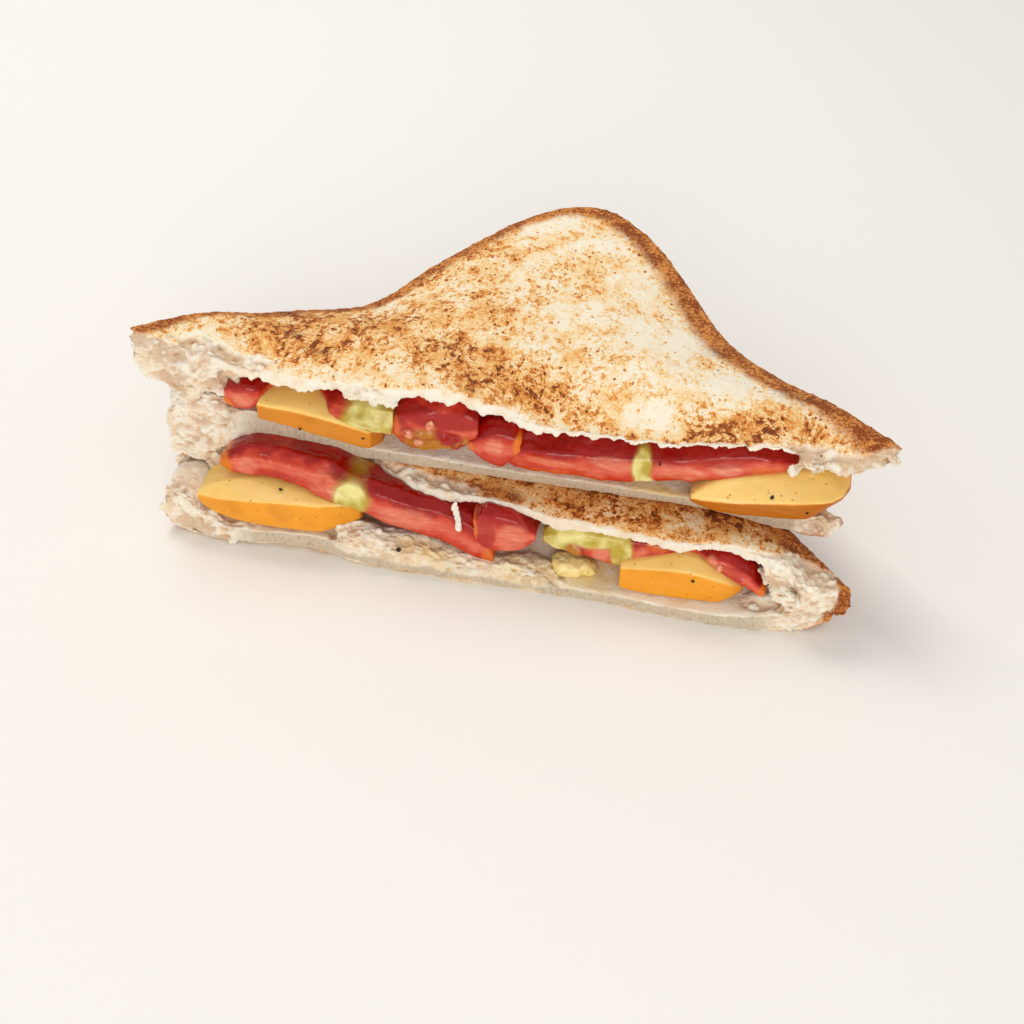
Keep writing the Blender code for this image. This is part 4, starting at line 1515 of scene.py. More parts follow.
# ---------------------------------------------------------------- scattered bits
@dataclass
class Scatter:
    """Small bits strewn over faces of a piece by a geometry tree with a fixed seed."""

    name: str
    per_square_metre: float
    smallest: float           # mm across
    largest: float            # mm across
    seed: int
    sink: float = 0.2         # share of its size that a bit is sunk in
    squeeze: tuple[float, float, float] = (1.0, 0.8, 0.7)   # length, width and height of a bit
    chipped: float = 0.4      # how far a bit is from round

    def bit(self) -> bpy.types.Object:
        """One bit of cracked grit, a unit across, from a coarse ball.

        Returns:
            The bit, which is only there to be strewn.
        """
        bm = bmesh.new()
        bmesh.ops.create_icosphere(bm, subdivisions=1, radius=0.5)
        points = np.array([v.co for v in bm.verts], float)
        lumps = swell(points + 7.3, 0.45, self.seed)
        for vert, lump in zip(bm.verts, lumps):
            vert.co = Vector([c * s * (1.0 + self.chipped * lump)
                              for c, s in zip(vert.co, self.squeeze)])
        mesh = bpy.data.meshes.new(self.name + "_bit")
        bm.to_mesh(mesh)
        bm.free()
        ob = bpy.data.objects.new(self.name + "_bit", mesh)
        bpy.context.scene.collection.objects.link(ob)
        return ob

    def tree(self, material: bpy.types.Material) -> bpy.types.NodeTree:
        """Geometry tree that strews the bits and ends in plain faces.

        Args:
            material: What the bits are made of.

        Returns:
            The tree.
        """
        tree = bpy.data.node_groups.new(self.name + "_scatter", "GeometryNodeTree")
        face = tree.interface
        face.new_socket("Geometry", in_out="INPUT", socket_type="NodeSocketGeometry")
        for label, kind in (("Bit", "Object"), ("Density", "Float"), ("Smallest", "Float"),
                            ("Largest", "Float"), ("Sink", "Float"), ("Seed", "Int")):
            face.new_socket(label, in_out="INPUT", socket_type="NodeSocket" + kind)
        face.new_socket("Geometry", in_out="OUTPUT", socket_type="NodeSocketGeometry")
        given = add_node(tree, "NodeGroupInput").outputs
        weight = add_node(tree, "GeometryNodeInputNamedAttribute", {"Name": "strew"},
                          data_type="FLOAT").outputs[0]
        thick = add_node(tree, "ShaderNodeMath", {0: given["Density"], 1: weight},
                         operation="MULTIPLY").outputs[0]
        spread = add_node(tree, "GeometryNodeDistributePointsOnFaces",
                          {"Mesh": given["Geometry"], "Density": thick, "Seed": given["Seed"]})
        size = add_node(tree, "FunctionNodeRandomValue",
                        {2: given["Smallest"], 3: given["Largest"], "Seed": given["Seed"]},
                        data_type="FLOAT").outputs[1]
        spin = add_node(tree, "FunctionNodeRandomValue",
                        {0: (-0.5, -0.5, 0.0), 1: (0.5, 0.5, 6.28), "Seed": given["Seed"]},
                        data_type="FLOAT_VECTOR").outputs[0]
        turn = add_node(tree, "FunctionNodeRotateRotation",
                        {0: spread.outputs["Rotation"], 1: spin},
                        rotation_space="LOCAL").outputs[0]
        drop = add_node(tree, "ShaderNodeMath", {0: size, 1: given["Sink"]},
                        operation="MULTIPLY").outputs[0]
        down = add_node(tree, "ShaderNodeVectorMath",
                        {0: spread.outputs["Normal"], "Scale": drop}, operation="SCALE").outputs[0]
        below = add_node(tree, "ShaderNodeVectorMath", {0: down, 1: (-1.0, -1.0, -1.0)},
                         operation="MULTIPLY").outputs[0]
        sunk = add_node(tree, "GeometryNodeSetPosition",
                        {"Geometry": spread.outputs["Points"], "Offset": below}).outputs[0]
        bit = add_node(tree, "GeometryNodeObjectInfo", {"Object": given["Bit"]})
        laid = add_node(tree, "GeometryNodeInstanceOnPoints",
                        {"Points": sunk, "Instance": bit.outputs["Geometry"], "Rotation": turn,
                         "Scale": size}).outputs[0]
        real = add_node(tree, "GeometryNodeRealizeInstances", {"Geometry": laid}).outputs[0]
        done = add_node(tree, "GeometryNodeSetMaterial",
                        {"Geometry": real, "Material": material}).outputs[0]
        add_node(tree, "NodeGroupOutput", {0: done})
        return tree

    def build(self, host: bpy.types.Object, weights: Array, material: bpy.types.Material,
              slot: str) -> bpy.types.Object:
        """Strew the bits over a piece and keep them as one plain mesh.

        Args:
            host: Piece that they lie on.
            weights: How densely they fall at each of its vertices, 0 to 1.
            material: What they are made of.
            slot: Not used.

        Returns:
            The piece of bits.
        """
        ground = host.data.copy()
        write_mask(ground, "strew", weights)
        worker = bpy.data.objects.new("worker", ground)
        bpy.context.scene.collection.objects.link(worker)
        bit = self.bit()
        tree = self.tree(material)
        modifier = worker.modifiers.new("scatter", "NODES")
        modifier.node_group = tree
        values = {"Bit": bit, "Density": self.per_square_metre, "Smallest": self.smallest * MM,
                  "Largest": self.largest * MM, "Sink": self.sink, "Seed": self.seed}
        for item in tree.interface.items_tree:
            if item.in_out == "INPUT" and item.name in values:
                modifier[item.identifier] = values[item.name]
        graph = bpy.context.evaluated_depsgraph_get()
        mesh = bpy.data.meshes.new_from_object(worker.evaluated_get(graph))
        mesh.name = self.name
        bpy.data.objects.remove(worker)
        bpy.data.objects.remove(bit)
        shade_smooth(mesh)
        return finish_piece(self.name, mesh, material)


# ---------------------------------------------------------------- the whole
@dataclass
class Studio:
    """Pale floor, soft lights and the camera."""

    floor_colour: str = "#F7F5F2"
    floor_half: float = 6.0                 # metres
    sky_colour: str = "#FDFCFA"
    sky_strength: float = 0.56
    lens: float = 50.205                    # mm, on a sensor 36 mm wide
    stand: tuple[float, float, float] = (0.0382737, -0.2702867, 0.224)      # of the camera, metres
    tilt: float = 48.3695                   # degrees up from looking straight down
    turn: float = 8.5285                    # degrees round from the cut face, to the right
    roll: float = 2.6099                    # degrees about its own axis

    def floor(self) -> None:
        """A wide, slightly rough pale sheet just under the sandwich."""
        bm = bmesh.new()
        bmesh.ops.create_grid(bm, x_segments=1, y_segments=1, size=self.floor_half)
        mesh = bpy.data.meshes.new("floor")
        bm.to_mesh(mesh)
        bm.free()
        look = Look("matt_paper")
        grain = add_node(look.tree, "ShaderNodeTexNoise",
                         {"Vector": look.place, "Scale": 1.0 / (0.4 * MM), "Detail": 2.0,
                          "Roughness": 0.5})
        relief = add_node(look.tree, "ShaderNodeBump",
                          {"Height": grain, "Distance": 0.01 * MM, "Strength": 1.0})
        mesh.materials.append(look.finish(Base_Color=self.floor_colour, Roughness=0.9,
                                          Normal=relief))
        ob = bpy.data.objects.new("floor", mesh)
        bpy.context.scene.collection.objects.link(ob)
        ob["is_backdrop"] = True

    def lamp(self, name: str, place: tuple[float, float, float], size: float, watts: float,
             colour: str) -> None:
        """A square soft lamp aimed at the middle of the sandwich.

        Args:
            name: Name of the lamp.
            place: Where it hangs, metres.
            size: Its width, metres.
            watts: Its power.
            colour: Its hex colour.
        """
        light = bpy.data.lights.new(name, "AREA")
        light.shape, light.size, light.energy = "SQUARE", size, watts
        light.color = linear(colour)[:3]
        ob = bpy.data.objects.new(name, light)
        ob.location = place
        ob.rotation_mode = "QUATERNION"
        ob.rotation_quaternion = (Vector((0, 0, 0.02)) - Vector(place)).to_track_quat("-Z", "Y")
        bpy.context.scene.collection.objects.link(ob)

    def camera(self) -> None:
        """The camera, above and in front, looking down at the cut faces."""
        data = bpy.data.cameras.new("camera")
        data.lens, data.sensor_width = self.lens, 36.0
        data.clip_start, data.clip_end = 0.01, 20.0
        ob = bpy.data.objects.new("camera", data)
        ob.matrix_world = (Matrix.Translation(self.stand)
                           @ Matrix.Rotation(math.radians(self.turn), 4, "Z")
                           @ Matrix.Rotation(math.radians(self.tilt), 4, "X")
                           @ Matrix.Rotation(math.radians(self.roll), 4, "Z"))
        bpy.context.scene.collection.objects.link(ob)
        bpy.context.scene.camera = ob

    def build(self) -> None:
        """Set up the floor, sky, lamps and camera."""
        self.floor()
        world = bpy.data.worlds.new("studio")
        world.use_nodes = True
        sky = world.node_tree.nodes["Background"]
        sky.inputs["Color"].default_value = linear(self.sky_colour)
        sky.inputs["Strength"].default_value = self.sky_strength
        bpy.context.scene.world = world
        self.lamp("key", (-0.35, 0.30, 0.80), 0.40, 3.3, "#FFFAF2")
        self.lamp("front_fill", (0.10, -0.85, 0.34), 0.5, 3.3, "#FFF8EE")
        self.camera()
        bpy.context.scene.view_settings.view_transform = "Standard"


BREADS = (
    BreadSlice("lower_bottom_bread", Toasted.DOWN, seed=11, torn_left=24.0, torn_right=17.0,
               char=0.35, ragged=0.55,
               smears=(Blotch(-13, -45, 7, 3, 0.6), Blotch(22, -41, 8, 5, 0.9),
                       Blotch(6, -44, 6, 3, 0.6)),
               lumps=(Lump((-71.0, -37.0, 11.0), (4.5, 5.5, 2.6)),
                      Lump((-66.0, -38.5, 10.2), (4.0, 3.5, 2.6), tilt=-20),
                      Lump((65.5, -42.0, 5.5), (4.5, 3.5, 2.6), tilt=10),
                      Lump((66.5, -44.4, 8.6), (6.4, 3.0, 3.2), tilt=-8),
                      Lump((60.0, -42.5, 4.0), (4.0, 3.0, 2.2)),
                      Lump((-29.5, -42.6, 6.2), (6.5, 4.6, 3.2), tilt=-5),
                      Lump((-19.0, -42.8, 5.4), (8.0, 4.6, 2.9), tilt=-4),
                      Lump((-6.0, -43.2, 4.4), (9.0, 4.2, 1.9), tilt=-2),
                      Lump((8.0, -43.2, 4.1), (8.0, 4.2, 2.3))),
               rinds=(Blotch(77.5, -41, 4.4, 9, 2.0), Blotch(-77.6, -36, 1.8, 4, 1.6))),
    BreadSlice("lower_top_bread", Toasted.UP, seed=23, torn_left=12.0, torn_right=24.0,
               char=0.56, ragged=0.6,
               blotches=(Blotch(40, -34, 26, 6, 0.30), Blotch(-30, -30, 16, 9, -0.30),
                         Blotch(66, -32, 14, 8, 0.35), Blotch(12, -36, 12, 3, 0.20),
                         Blotch(56, -43, 8, 4, -0.35)),
               lifts=(Blotch(0, -40, 9, 8, 1.6), Blotch(24, -41, 16, 8, 0.6)),
               lumps=(Lump((-66.0, -31.0, 12.5), (5.0, 3.5, 2.8)),
                      Lump((62.0, -43.6, 12.6), (4.6, 2.6, 2.4), tilt=-14),
                      Lump((72.0, -42.8, 10.6), (3.4, 3.8, 3.2))),
               bares=(Blotch(68, -47, 13, 7, 1.0), Blotch(-32, -31.6, 7, 2.6, 1.0),
                      Blotch(-22, -35.6, 7, 2.6, 1.0), Blotch(-11, -38.4, 7, 2.8, 1.0),
                      Blotch(50, -45.4, 8, 1.6, 0.8)),
               rinds=(Blotch(78.4, -43, 5.0, 10, 2.2),),
               strip_shade=0.15, rim=5.0),
    BreadSlice("upper_bottom_bread", Toasted.DOWN, seed=37, torn_left=22.0, torn_right=12.0,
               char=0.5, ragged=0.45,
               smears=(Blotch(20, -27, 12, 4, 0.5), Blotch(36, -33, 8, 3, 0.9)),
               lumps=(Lump((-71.5, -30.5, 29.2), (4.6, 4.0, 2.6)),
                      Lump((-65.0, -30.5, 29.6), (3.6, 3.4, 2.4)),
                      Lump((-70.0, -31.5, 15.2), (5.0, 3.0, 2.6)),
                      Lump((68.0, -35.6, 23.0), (4.0, 1.8, 2.2), tilt=6),
                      Lump((70.6, -35.4, 21.2), (2.2, 1.8, 2.8)),
                      Lump((72.6, -34.8, 22.8), (1.7, 1.6, 2.2))),
               rinds=(Blotch(-78.0, -30.0, 2.0, 3.5, 1.7), Blotch(76.0, -34, 2.6, 4, 1.6))),
    BreadSlice("upper_top_bread", Toasted.UP, seed=41, torn_left=24.0, torn_right=18.0,
               char=0.36, ragged=1.0, strip_shade=0.0, rim=4.9, voxel=0.64,
               bares=(Blotch(67, -34.5, 8, 3.6, 1.0), Blotch(-62, -32, 12, 3.6, 1.0)),
               blotches=(Blotch(-9, -22, 12, 7, 0.80), Blotch(5, -28, 13, 5, 0.56),
                         Blotch(-45, -22, 17, 5, 0.54), Blotch(-62, -13, 14, 6, 0.66),
                         Blotch(-32, -8, 14, 6, 0.40), Blotch(46, -32, 13, 7, 0.56),
                         Blotch(10, -8, 9, 7, -0.12), Blotch(66, -28, 10, 5, 0.22),
                         Blotch(23, 15, 9, 8, -0.34), Blotch(33, -2, 8, 10, -0.42),
                         Blotch(48, -17, 10, 6, -0.34), Blotch(-2, 37, 10, 6, -0.30),
                         Blotch(12, 30, 5, 3, -0.5), Blotch(30, -28, 5, 3.4, -1.2),
                         Blotch(-18, 8, 7, 8, -0.14), Blotch(-66, -30, 10, 4, -0.3)),
               lifts=(Blotch(22, -34, 20, 8, 1.7), Blotch(52, -34, 12, 8, 0.5),
                      Blotch(-34, -34, 12, 6, 0.6)),
               scorches=(Blotch(-14.9, -18.1, 1.6, 0.7, 0.9), Blotch(-7.6, -31.9, 1.4, 0.6, 0.8),
                         Blotch(-55, -9, 9, 1.4, 0.7), Blotch(-50, -20, 2.6, 1.2, 0.7),
                         Blotch(-43, -24.5, 3.0, 1.2, 0.6), Blotch(43, -2, 3, 2.5, 0.5),
                         Blotch(62, -16, 5, 2.2, 0.45), Blotch(22, 44, 3.5, 2.0, 0.4)),
               lumps=(Lump((-72.0, -29.5, 32.6), (5.4, 4.8, 3.0)),
                      Lump((-65.0, -29.6, 33.6), (4.0, 3.6, 2.6), tilt=12),
                      Lump((-60.6, -31.2, 37.4), (3.0, 2.6, 2.0)),
                      Lump((-29.5, -33.0, 38.6), (7.6, 3.0, 1.7), tilt=4),
                      Lump((-24.6, -35.6, 38.4), (2.6, 1.4, 1.0), tilt=-12),
                      Lump((-27.4, -36.2, 37.4), (1.5, 0.9, 0.7), tilt=40),
                      Lump((65.1, -35.6, 38.0), (3.4, 2.6, 2.0), tilt=-18),
                      Lump((61.6, -36.4, 36.4), (1.8, 1.2, 2.2), tilt=20))),
)

CHEESES = (
    CheeseSlab("lower_cheese_left", 5, (
        Station(-66.8, (-44.4, 10.8), (-44.8, 12.8), (-44.0, 13.6)),
        Station(-65.0, (-44.9, 9.2), (-45.4, 13.2), (-43.4, 14.9)),
        Station(-61.5, (-45.0, 7.6), (-45.6, 13.2), (-42.0, 15.6)),
        Station(-56.8, (-45.0, 6.8), (-45.6, 13.5), (-40.2, 16.0)),
        Station(-51.0, (-45.0, 6.0), (-45.6, 14.1), (-39.2, 16.2)),
        Station(-44.0, (-45.0, 6.3), (-45.6, 14.9), (-40.0, 16.1)),
        Station(-39.2, (-45.0, 6.7), (-45.4, 15.0), (-42.0, 15.4)),
        Station(-38.2, (-44.8, 6.8), (-45.1, 14.9), (-42.4, 15.2)),
        Station(-34.0, (-43.0, 8.0), (-43.2, 14.6), (-41.2, 14.9)),
        Station(-29.8, (-41.0, 9.6), (-41.2, 13.2), (-40.0, 13.4)))),
    CheeseSlab("lower_cheese_right", 9, (
        Station(28.6, (-45.2, 3.8), (-45.5, 10.2), (-44.2, 10.7)),
        Station(34.5, (-45.4, 3.3), (-45.7, 11.2), (-43.6, 12.4)),
        Station(39.0, (-45.4, 3.3), (-45.7, 11.8), (-42.0, 13.4)),
        Station(43.5, (-45.4, 3.4), (-45.7, 12.0), (-41.8, 13.8)),
        Station(47.0, (-45.4, 3.5), (-45.7, 11.5), (-42.4, 13.2)),
        Station(50.5, (-45.2, 3.7), (-45.5, 10.3), (-43.4, 11.8)),
        Station(53.3, (-44.6, 5.2), (-44.8, 9.4), (-43.4, 10.2)),
        Station(55.6, (-43.4, 7.0), (-43.6, 8.4), (-42.8, 8.8)))),
    CheeseSlab("upper_cheese_left", 14, (
        Station(-53.9, (-36.3, 30.0), (-36.7, 34.2), (-36.0, 34.5)),
        Station(-50.4, (-36.6, 29.4), (-36.9, 34.3), (-29.4, 34.9)),
        Station(-44.0, (-36.6, 28.5), (-36.9, 34.0), (-28.8, 34.9)),
        Station(-39.0, (-36.6, 27.4), (-36.9, 33.1), (-31.0, 34.0)),
        Station(-34.0, (-36.6, 26.3), (-36.9, 32.3), (-33.2, 32.8)),
        Station(-30.4, (-36.4, 25.7), (-36.7, 31.1), (-33.8, 31.5)),
        Station(-28.8, (-36.2, 25.7), (-36.4, 30.6), (-34.2, 30.9)),
        Station(-26.4, (-34.0, 26.4), (-34.2, 30.4), (-32.4, 30.6))), front_shade=0.5),
    CheeseSlab("upper_cheese_right", 21, (
        Station(41.4, (-37.4, 25.2), (-38.0, 26.2), (-37.4, 26.8)),
        Station(44.2, (-37.5, 23.8), (-38.2, 26.3), (-36.4, 29.0)),
        Station(48.0, (-37.5, 23.1), (-38.2, 26.4), (-34.8, 30.6)),
        Station(54.0, (-37.5, 23.1), (-38.2, 27.2), (-34.2, 31.8)),
        Station(60.5, (-37.4, 23.4), (-38.2, 28.4), (-33.0, 32.8)),
        Station(66.5, (-37.2, 24.0), (-38.0, 29.3), (-31.6, 33.2)),
        Station(70.4, (-36.6, 27.8), (-37.8, 30.4), (-31.4, 33.0)),
        Station(72.8, (-35.4, 29.6), (-36.4, 31.4), (-31.0, 32.6)),
        Station(74.4, (-32.2, 30.0), (-32.8, 31.4), (-30.6, 32.0))), crease=0.55, front_shade=1.0),
)

TOMATOES = (
    TomatoPiece("lower_tomato_left", 3, (
        Station(-62.6, (-39.4, 17.6), (-39.4, 19.2), (-38.0, 20.0)),
        Station(-60.0, (-40.0, 16.9), (-39.8, 20.4), (-37.0, 22.0)),
        Station(-55.0, (-40.3, 16.7), (-39.6, 21.2), (-36.4, 23.6)),
        Station(-48.5, (-40.6, 16.6), (-39.7, 21.2), (-36.6, 23.4)),
        Station(-43.5, (-41.6, 16.3), (-40.2, 20.8), (-37.2, 23.0)),
        Station(-39.5, (-42.8, 15.6), (-40.8, 20.6), (-37.8, 22.6)),
        Station(-36.0, (-43.8, 14.8), (-41.6, 20.2), (-38.4, 22.0)),
        Station(-31.5, (-43.4, 13.4), (-42.0, 19.4), (-39.4, 20.8)),
        Station(-28.0, (-42.8, 11.9), (-42.2, 18.8), (-39.8, 20.0)),
        Station(-22.0, (-42.8, 9.4), (-42.4, 17.4), (-39.6, 18.8)),
        Station(-14.0, (-43.0, 8.7), (-42.6, 15.8), (-39.8, 17.2)),
        Station(-8.5, (-43.4, 7.5), (-42.8, 15.2), (-40.2, 16.4)),
        Station(-5.0, (-43.8, 6.0), (-43.2, 14.0), (-40.8, 15.6)),
        Station(-1.5, (-44.3, 5.0), (-44.0, 11.0), (-41.4, 13.4)),
        Station(0.8, (-44.5, 4.6), (-44.4, 6.6), (-43.4, 8.0))),
        cores=(Spot(-31.9, 16.0, 4.5, 4.9),),
        skins=(Spot(-61.8, 18.6, 2.2, 2.4), Spot(0.0, 6.0, 2.2, 3.0, 0.7)),
        pales=(Spot(-38, 18, 4, 4, 0.35), Spot(-20, 13, 7, 3.0, 0.5),
               Spot(-56, 19, 2.5, 2.5, 0.5)),
        bloods=(Spot(-50, 17.6, 5.5, 1.6, 0.4),), faces=(Spot(-48, 21, 13, 4),)),
    TomatoPiece("lower_tomato_chunk", 7, (
        Station(-4.4, (-43.8, 12.0), (-43.6, 16.2), (-41.6, 17.2)),
        Station(-2.0, (-44.5, 9.0), (-43.8, 18.6), (-41.0, 19.8)),
        Station(1.0, (-44.7, 8.2), (-44.0, 18.6), (-40.8, 19.8)),
        Station(5.2, (-44.7, 9.3), (-44.0, 17.8), (-40.8, 19.0)),
        Station(8.0, (-44.4, 11.0), (-43.6, 15.6), (-41.2, 17.0)),
        Station(9.8, (-43.6, 12.8), (-43.2, 14.2), (-41.6, 15.0))),
        skins=(Spot(-4.2, 13.4, 0.9, 4, 0.9),),
        pales=(Spot(4.6, 13.0, 3.6, 4.4, 0.55),),
        bloods=(Spot(-1.2, 13.5, 2.4, 5.0, 0.7), Spot(4.0, 18.0, 5.0, 1.2, 0.8))),
    TomatoPiece("lower_tomato_right", 13, (
        Station(10.8, (-41.8, 10.8), (-41.6, 12.6), (-40.0, 13.4)),
        Station(14.0, (-42.6, 9.8), (-42.2, 14.4), (-39.4, 16.0)),
        Station(19.0, (-42.8, 10.6), (-42.2, 15.2), (-39.4, 16.8)),
        Station(22.0, (-42.9, 9.0), (-42.3, 15.2), (-39.4, 16.8)),
        Station(25.0, (-43.2, 8.1), (-42.4, 15.1), (-39.4, 16.8)),
        Station(29.0, (-43.6, 8.4), (-42.4, 15.1), (-39.2, 16.8)),
        Station(34.0, (-42.8, 9.8), (-42.0, 14.8), (-39.0, 16.4)),
        Station(39.0, (-41.2, 11.8), (-41.0, 14.0), (-38.6, 15.6)),
        Station(44.0, (-40.6, 13.4), (-40.4, 14.6), (-38.6, 15.8)),
        Station(47.4, (-43.6, 13.6), (-43.6, 15.0), (-41.0, 16.4)),
        Station(50.5, (-44.6, 12.0), (-44.2, 15.0), (-41.4, 16.4)),
        Station(53.6, (-45.0, 10.2), (-44.4, 14.4), (-41.6, 16.0)),
        Station(56.5, (-45.3, 9.0), (-44.6, 12.8), (-41.8, 14.4)),
        Station(59.0, (-45.3, 7.4), (-44.7, 10.0), (-42.4, 11.4)),
        Station(60.4, (-44.8, 7.4), (-44.5, 8.6), (-43.0, 9.2))),
        cores=(Spot(15.0, 13.4, 4.6, 3.8), Spot(22.0, 14.4, 7.0, 2.6), Spot(28.4, 12.2, 2.6, 5.5)),
        skins=(Spot(59.8, 8.0, 1.6, 2.2, 0.8), Spot(36.5, 14.6, 3.0, 1.4, 0.6)),
        gels=(Spot(18.4, 11.4, 2.4, 1.5),),
        pales=(Spot(24.0, 11.0, 2.0, 3.4, 0.7), Spot(33.0, 12.0, 1.6, 2.4, 0.6),
               Spot(48.0, 14.2, 1.4, 1.4, 0.9)),
        bloods=(Spot(53.0, 13.0, 3.2, 3.0, 0.45), Spot(35.0, 11.4, 2.0, 2.0, 0.4)),
        faces=(Spot(15.0, 14.6, 4.6, 2.4), Spot(22.0, 15.6, 6.0, 2.4),
               Spot(52, 15.4, 5.0, 1.4, 0.7))),
    TomatoPiece("upper_tomato_left", 17, (
        Station(-62.1, (-34.2, 31.8), (-34.0, 35.2), (-32.0, 35.8)),
        Station(-59.8, (-34.9, 30.6), (-34.4, 36.4), (-31.6, 37.6)),
        Station(-56.5, (-34.9, 30.9), (-34.4, 36.6), (-31.6, 38.0)),
        Station(-54.0, (-34.2, 32.4), (-33.8, 35.4), (-31.6, 36.8)),
        Station(-52.4, (-30.0, 34.6), (-29.8, 36.0), (-27.8, 36.8)),
        Station(-48.0, (-28.0, 35.2), (-27.8, 36.0), (-26.0, 36.6)),
        Station(-43.0, (-28.4, 35.2), (-28.2, 35.9), (-26.4, 36.5)),
        Station(-40.2, (-31.4, 34.6), (-31.0, 35.4), (-28.8, 36.0)),
        Station(-38.0, (-35.6, 32.8), (-33.4, 34.9), (-30.0, 36.0)),
        Station(-34.0, (-36.8, 32.5), (-33.8, 35.1), (-30.4, 36.2)),
        Station(-30.6, (-37.0, 31.3), (-33.8, 35.3), (-30.4, 36.4)),
        Station(-26.8, (-36.6, 30.2), (-34.0, 35.3), (-30.4, 36.4)),
        Station(-23.8, (-35.8, 29.2), (-33.8, 35.2), (-30.6, 36.2))),
        cores=(Spot(-29.0, 33.0, 6.4, 5.5),),
        skins=(Spot(-61.4, 31.6, 1.6, 1.6), Spot(-47.0, 35.0, 6.0, 1.2, 0.7)),
        pales=(Spot(-57.5, 33.2, 2.4, 2.0, 0.6), Spot(-23.6, 30.6, 1.2, 2.4, 0.8)),
        bloods=(Spot(-39.5, 34.6, 1.8, 1.2, 0.8),),
        faces=(Spot(-30.0, 35.6, 9.5, 2.4),)),
    TomatoPiece("upper_tomato_middle", 19, (
        Station(-24.2, (-34.2, 29.2), (-33.6, 33.2), (-31.4, 35.4)),
        Station(-22.0, (-35.0, 27.0), (-34.0, 34.6), (-31.0, 37.4)),
        Station(-19.8, (-35.2, 26.1), (-34.2, 35.5), (-30.6, 38.4)),
        Station(-15.7, (-35.2, 26.4), (-34.2, 36.4), (-30.6, 39.0)),
        Station(-11.4, (-35.2, 27.4), (-34.2, 36.9), (-30.6, 39.2)),
        Station(-8.0, (-35.2, 28.6), (-34.2, 37.2), (-30.6, 39.0)),
        Station(-5.4, (-34.8, 31.0), (-34.0, 35.8), (-31.2, 37.4))),
        gels=(Spot(-14.0, 29.2, 8.6, 3.6),),
        skins=(Spot(-23.6, 31.0, 1.2, 3.4, 0.5),),
        bloods=(Spot(-13.0, 34.6, 8.6, 2.0, 0.95), Spot(-20.4, 31.0, 2.2, 1.8, 0.7)),
        faces=(Spot(-14.0, 38.2, 7.6, 1.6, 0.8),)),
    TomatoPiece("upper_tomato_chunk", 27, (
        Station(-7.6, (-35.2, 28.8), (-35.0, 30.4), (-32.8, 31.8)),
        Station(-4.8, (-35.7, 26.6), (-35.2, 32.2), (-32.0, 34.4)),
        Station(-2.0, (-35.9, 25.9), (-35.3, 33.8), (-32.0, 36.0)),
        Station(0.4, (-35.9, 25.8), (-35.3, 33.8), (-32.0, 36.0)),
        Station(2.4, (-35.6, 27.4), (-35.2, 33.4), (-32.0, 35.4)),
        Station(4.3, (-35.0, 29.8), (-34.8, 32.4), (-32.4, 34.0))),
        skins=(Spot(3.6, 31.0, 1.0, 3.2), Spot(-6.8, 29.4, 1.0, 1.4, 0.7)),
        pales=(Spot(-1.6, 30.6, 2.2, 2.2, 0.6),)),
    TomatoPiece("upper_tomato_right", 29, (
        Station(0.6, (-34.4, 26.0), (-34.4, 28.4), (-33.0, 30.2)),
        Station(4.5, (-35.0, 24.6), (-35.0, 30.6), (-31.6, 33.2)),
        Station(10.0, (-35.3, 24.8), (-35.4, 31.0), (-31.0, 33.8)),
        Station(17.5, (-35.4, 25.4), (-35.5, 31.3), (-30.6, 34.2)),
        Station(25.5, (-35.5, 25.9), (-35.5, 32.2), (-30.6, 35.0)),
        Station(34.0, (-35.5, 26.8), (-35.5, 33.2), (-30.4, 36.0)),
        Station(41.0, (-35.4, 28.4), (-35.4, 34.4), (-30.0, 37.2)),
        Station(46.5, (-35.2, 29.8), (-35.0, 35.6), (-29.6, 38.2)),
        Station(51.0, (-35.0, 31.6), (-34.6, 36.6), (-29.4, 38.8)),
        Station(56.0, (-35.0, 32.4), (-34.2, 37.0), (-29.6, 39.0)),
        Station(60.0, (-34.2, 33.8), (-33.6, 36.2), (-30.0, 37.8)),
        Station(62.6, (-33.0, 35.0), (-32.8, 35.8), (-30.6, 36.4))),
        cores=(Spot(30.4, 30.6, 2.2, 4.6), Spot(31.2, 27.0, 2.4, 1.8)),
        skins=(Spot(57.0, 33.6, 4.0, 1.6, 0.4), Spot(16.0, 25.6, 12.0, 0.9, 0.4)),
        pales=(Spot(24.0, 30.6, 5.0, 1.6, 0.6), Spot(38.0, 30.8, 6.0, 2.0, 0.5),
               Spot(11.0, 28.6, 5.0, 1.2, 0.5),
               Spot(48.0, 33.0, 3.5, 1.6, 0.6)),
        bloods=(Spot(45.0, 34.6, 7.0, 1.6, 0.6),)),
)

SEEDS = Beads("tomato_seeds", (
    Bead((-15.6, -34.7, 33.4), (1.1, 0.6, 1.5), 8),
    Bead((-20.6, -34.9, 30.6), (1.5, 0.8, 1.2), 20),
    Bead((-18.2, -35.1, 29.0), (1.4, 0.9, 1.1), -30),
    Bead((32.2, -42.5, 10.6), (0.8, 0.6, 1.3), 15),
    Bead((35.2, -41.8, 11.4), (0.8, 0.6, 1.2), -10),
    Bead((49.8, -44.4, 13.6), (0.9, 0.6, 1.1), 30)))

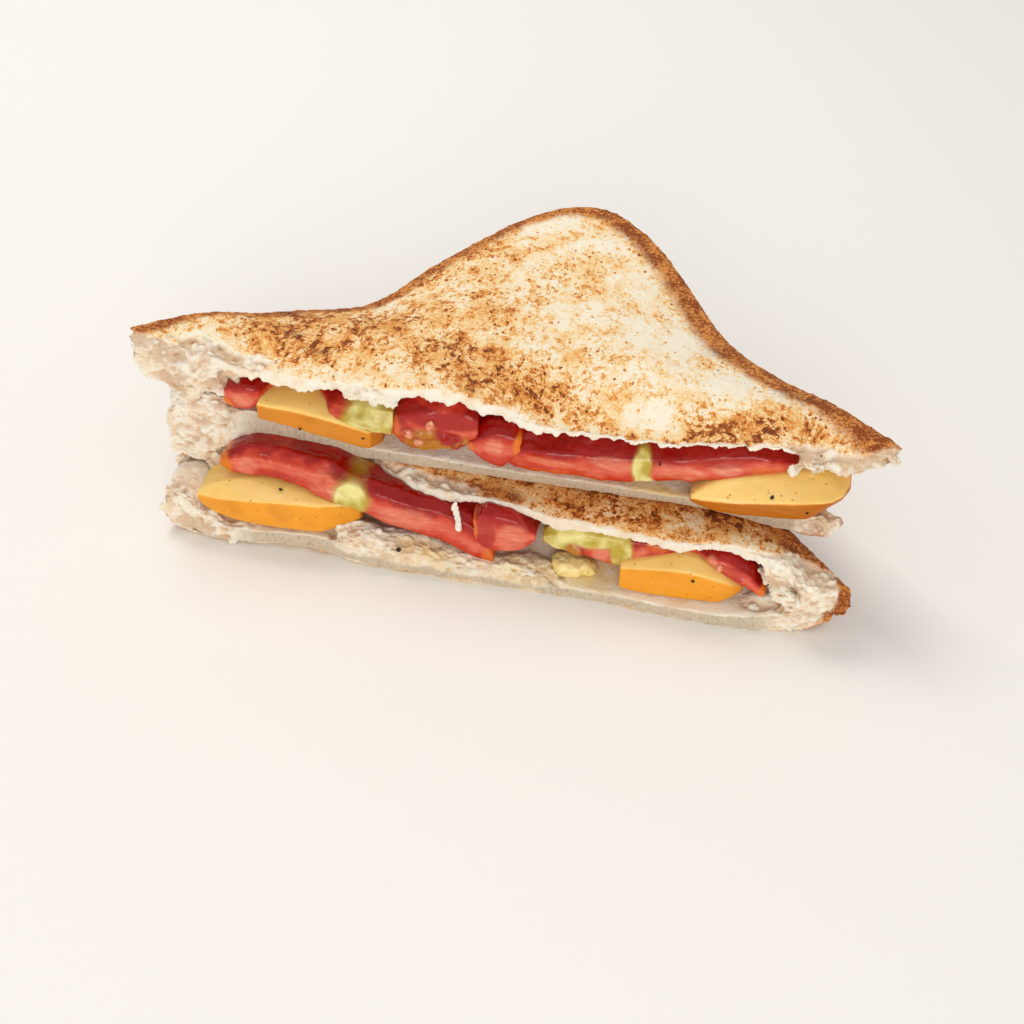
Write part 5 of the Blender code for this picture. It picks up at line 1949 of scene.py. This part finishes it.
# a strand of torn crumb that hangs in front of the fillings
SHREDS = Beads("bread_shreds", (
    Bead((-8.6, -42.4, 18.4), (0.60, 0.5, 1.5), 16),
    Bead((-8.2, -42.6, 17.3), (0.55, 0.5, 1.5), 14),
    Bead((-7.9, -42.8, 16.2), (0.58, 0.5, 1.5), 10),
    Bead((-7.6, -43.0, 15.1), (0.62, 0.5, 1.5), 6),
    Bead((-7.5, -43.2, 14.0), (0.72, 0.5, 1.5), 0),
    Bead((-7.5, -43.3, 13.2), (0.76, 0.5, 1.2), -8)))

SPECKS = Beads("pepper_on_fillings", (
    Bead((-47.9, -42.4, 15.9), (0.5, 0.35, 0.3), 10),
    Bead((-30.2, -36.5, 28.9), (0.4, 0.25, 0.3), 0),
    Bead((-26.1, -33.9, 34.3), (0.4, 0.3, 0.35), 30),
    Bead((-20.2, -46.8, 7.2), (0.6, 0.5, 0.55), 5),
    Bead((58.3, -37.0, 28.8), (0.45, 0.4, 0.8), 12),
    Bead((34.1, -35.7, 32.6), (0.35, 0.25, 0.35), 0),
    Bead((44.6, -45.9, 10.0), (0.45, 0.3, 0.3), 20),
    Bead((-44.2, -37.0, 29.4), (0.35, 0.2, 0.3), 0),
    Bead((66.0, -37.6, 26.6), (0.35, 0.3, 0.3), 0)))


def main() -> None:
    """Build and dress every piece and set the stage."""
    logging.basicConfig(level=logging.INFO, format="%(name)s %(message)s")
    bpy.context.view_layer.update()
    bread = BreadFinish().build()
    cheese = CheeseFinish("block_cheese").build()
    melted = CheeseFinish("melted_cheese", face="#F2DA8E", shaded_side="#EBCB74", deep="#DDAF4C",
                          pale="#FAEFC4").build()
    tomato = TomatoFinish().build()
    pepper = PepperFinish().build()
    seed = SeedFinish().build()
    slices = {part.node: part.build(bread) for part in BREADS}
    roofs = {"lower": slices["lower_top_bread"], "upper": slices["upper_top_bread"]}
    for slab in CHEESES:
        slab.build(cheese, roofs[slab.node.split("_")[0]])
    CheeseScrap("lower_cheese_scrap").build(melted)
    for piece in TOMATOES:
        piece.build(tomato, roofs[piece.node.split("_")[0]])
    SEEDS.build(seed, "tomato")
    SHREDS.build(bread, "toasted_bread")
    SPECKS.build(pepper, "cheese")

    top = slices["upper_top_bread"]
    _, normals = read_points(top.data)
    pepper_on_top = Scatter("pepper_on_top", per_square_metre=3000.0, smallest=0.35, largest=1.0,
                            seed=4)
    pepper_on_top.build(top, step(normals[:, 2], 0.5, 0.8), pepper, "toasted_bread")

    Studio().build()


if __name__ == "__main__":
    main()
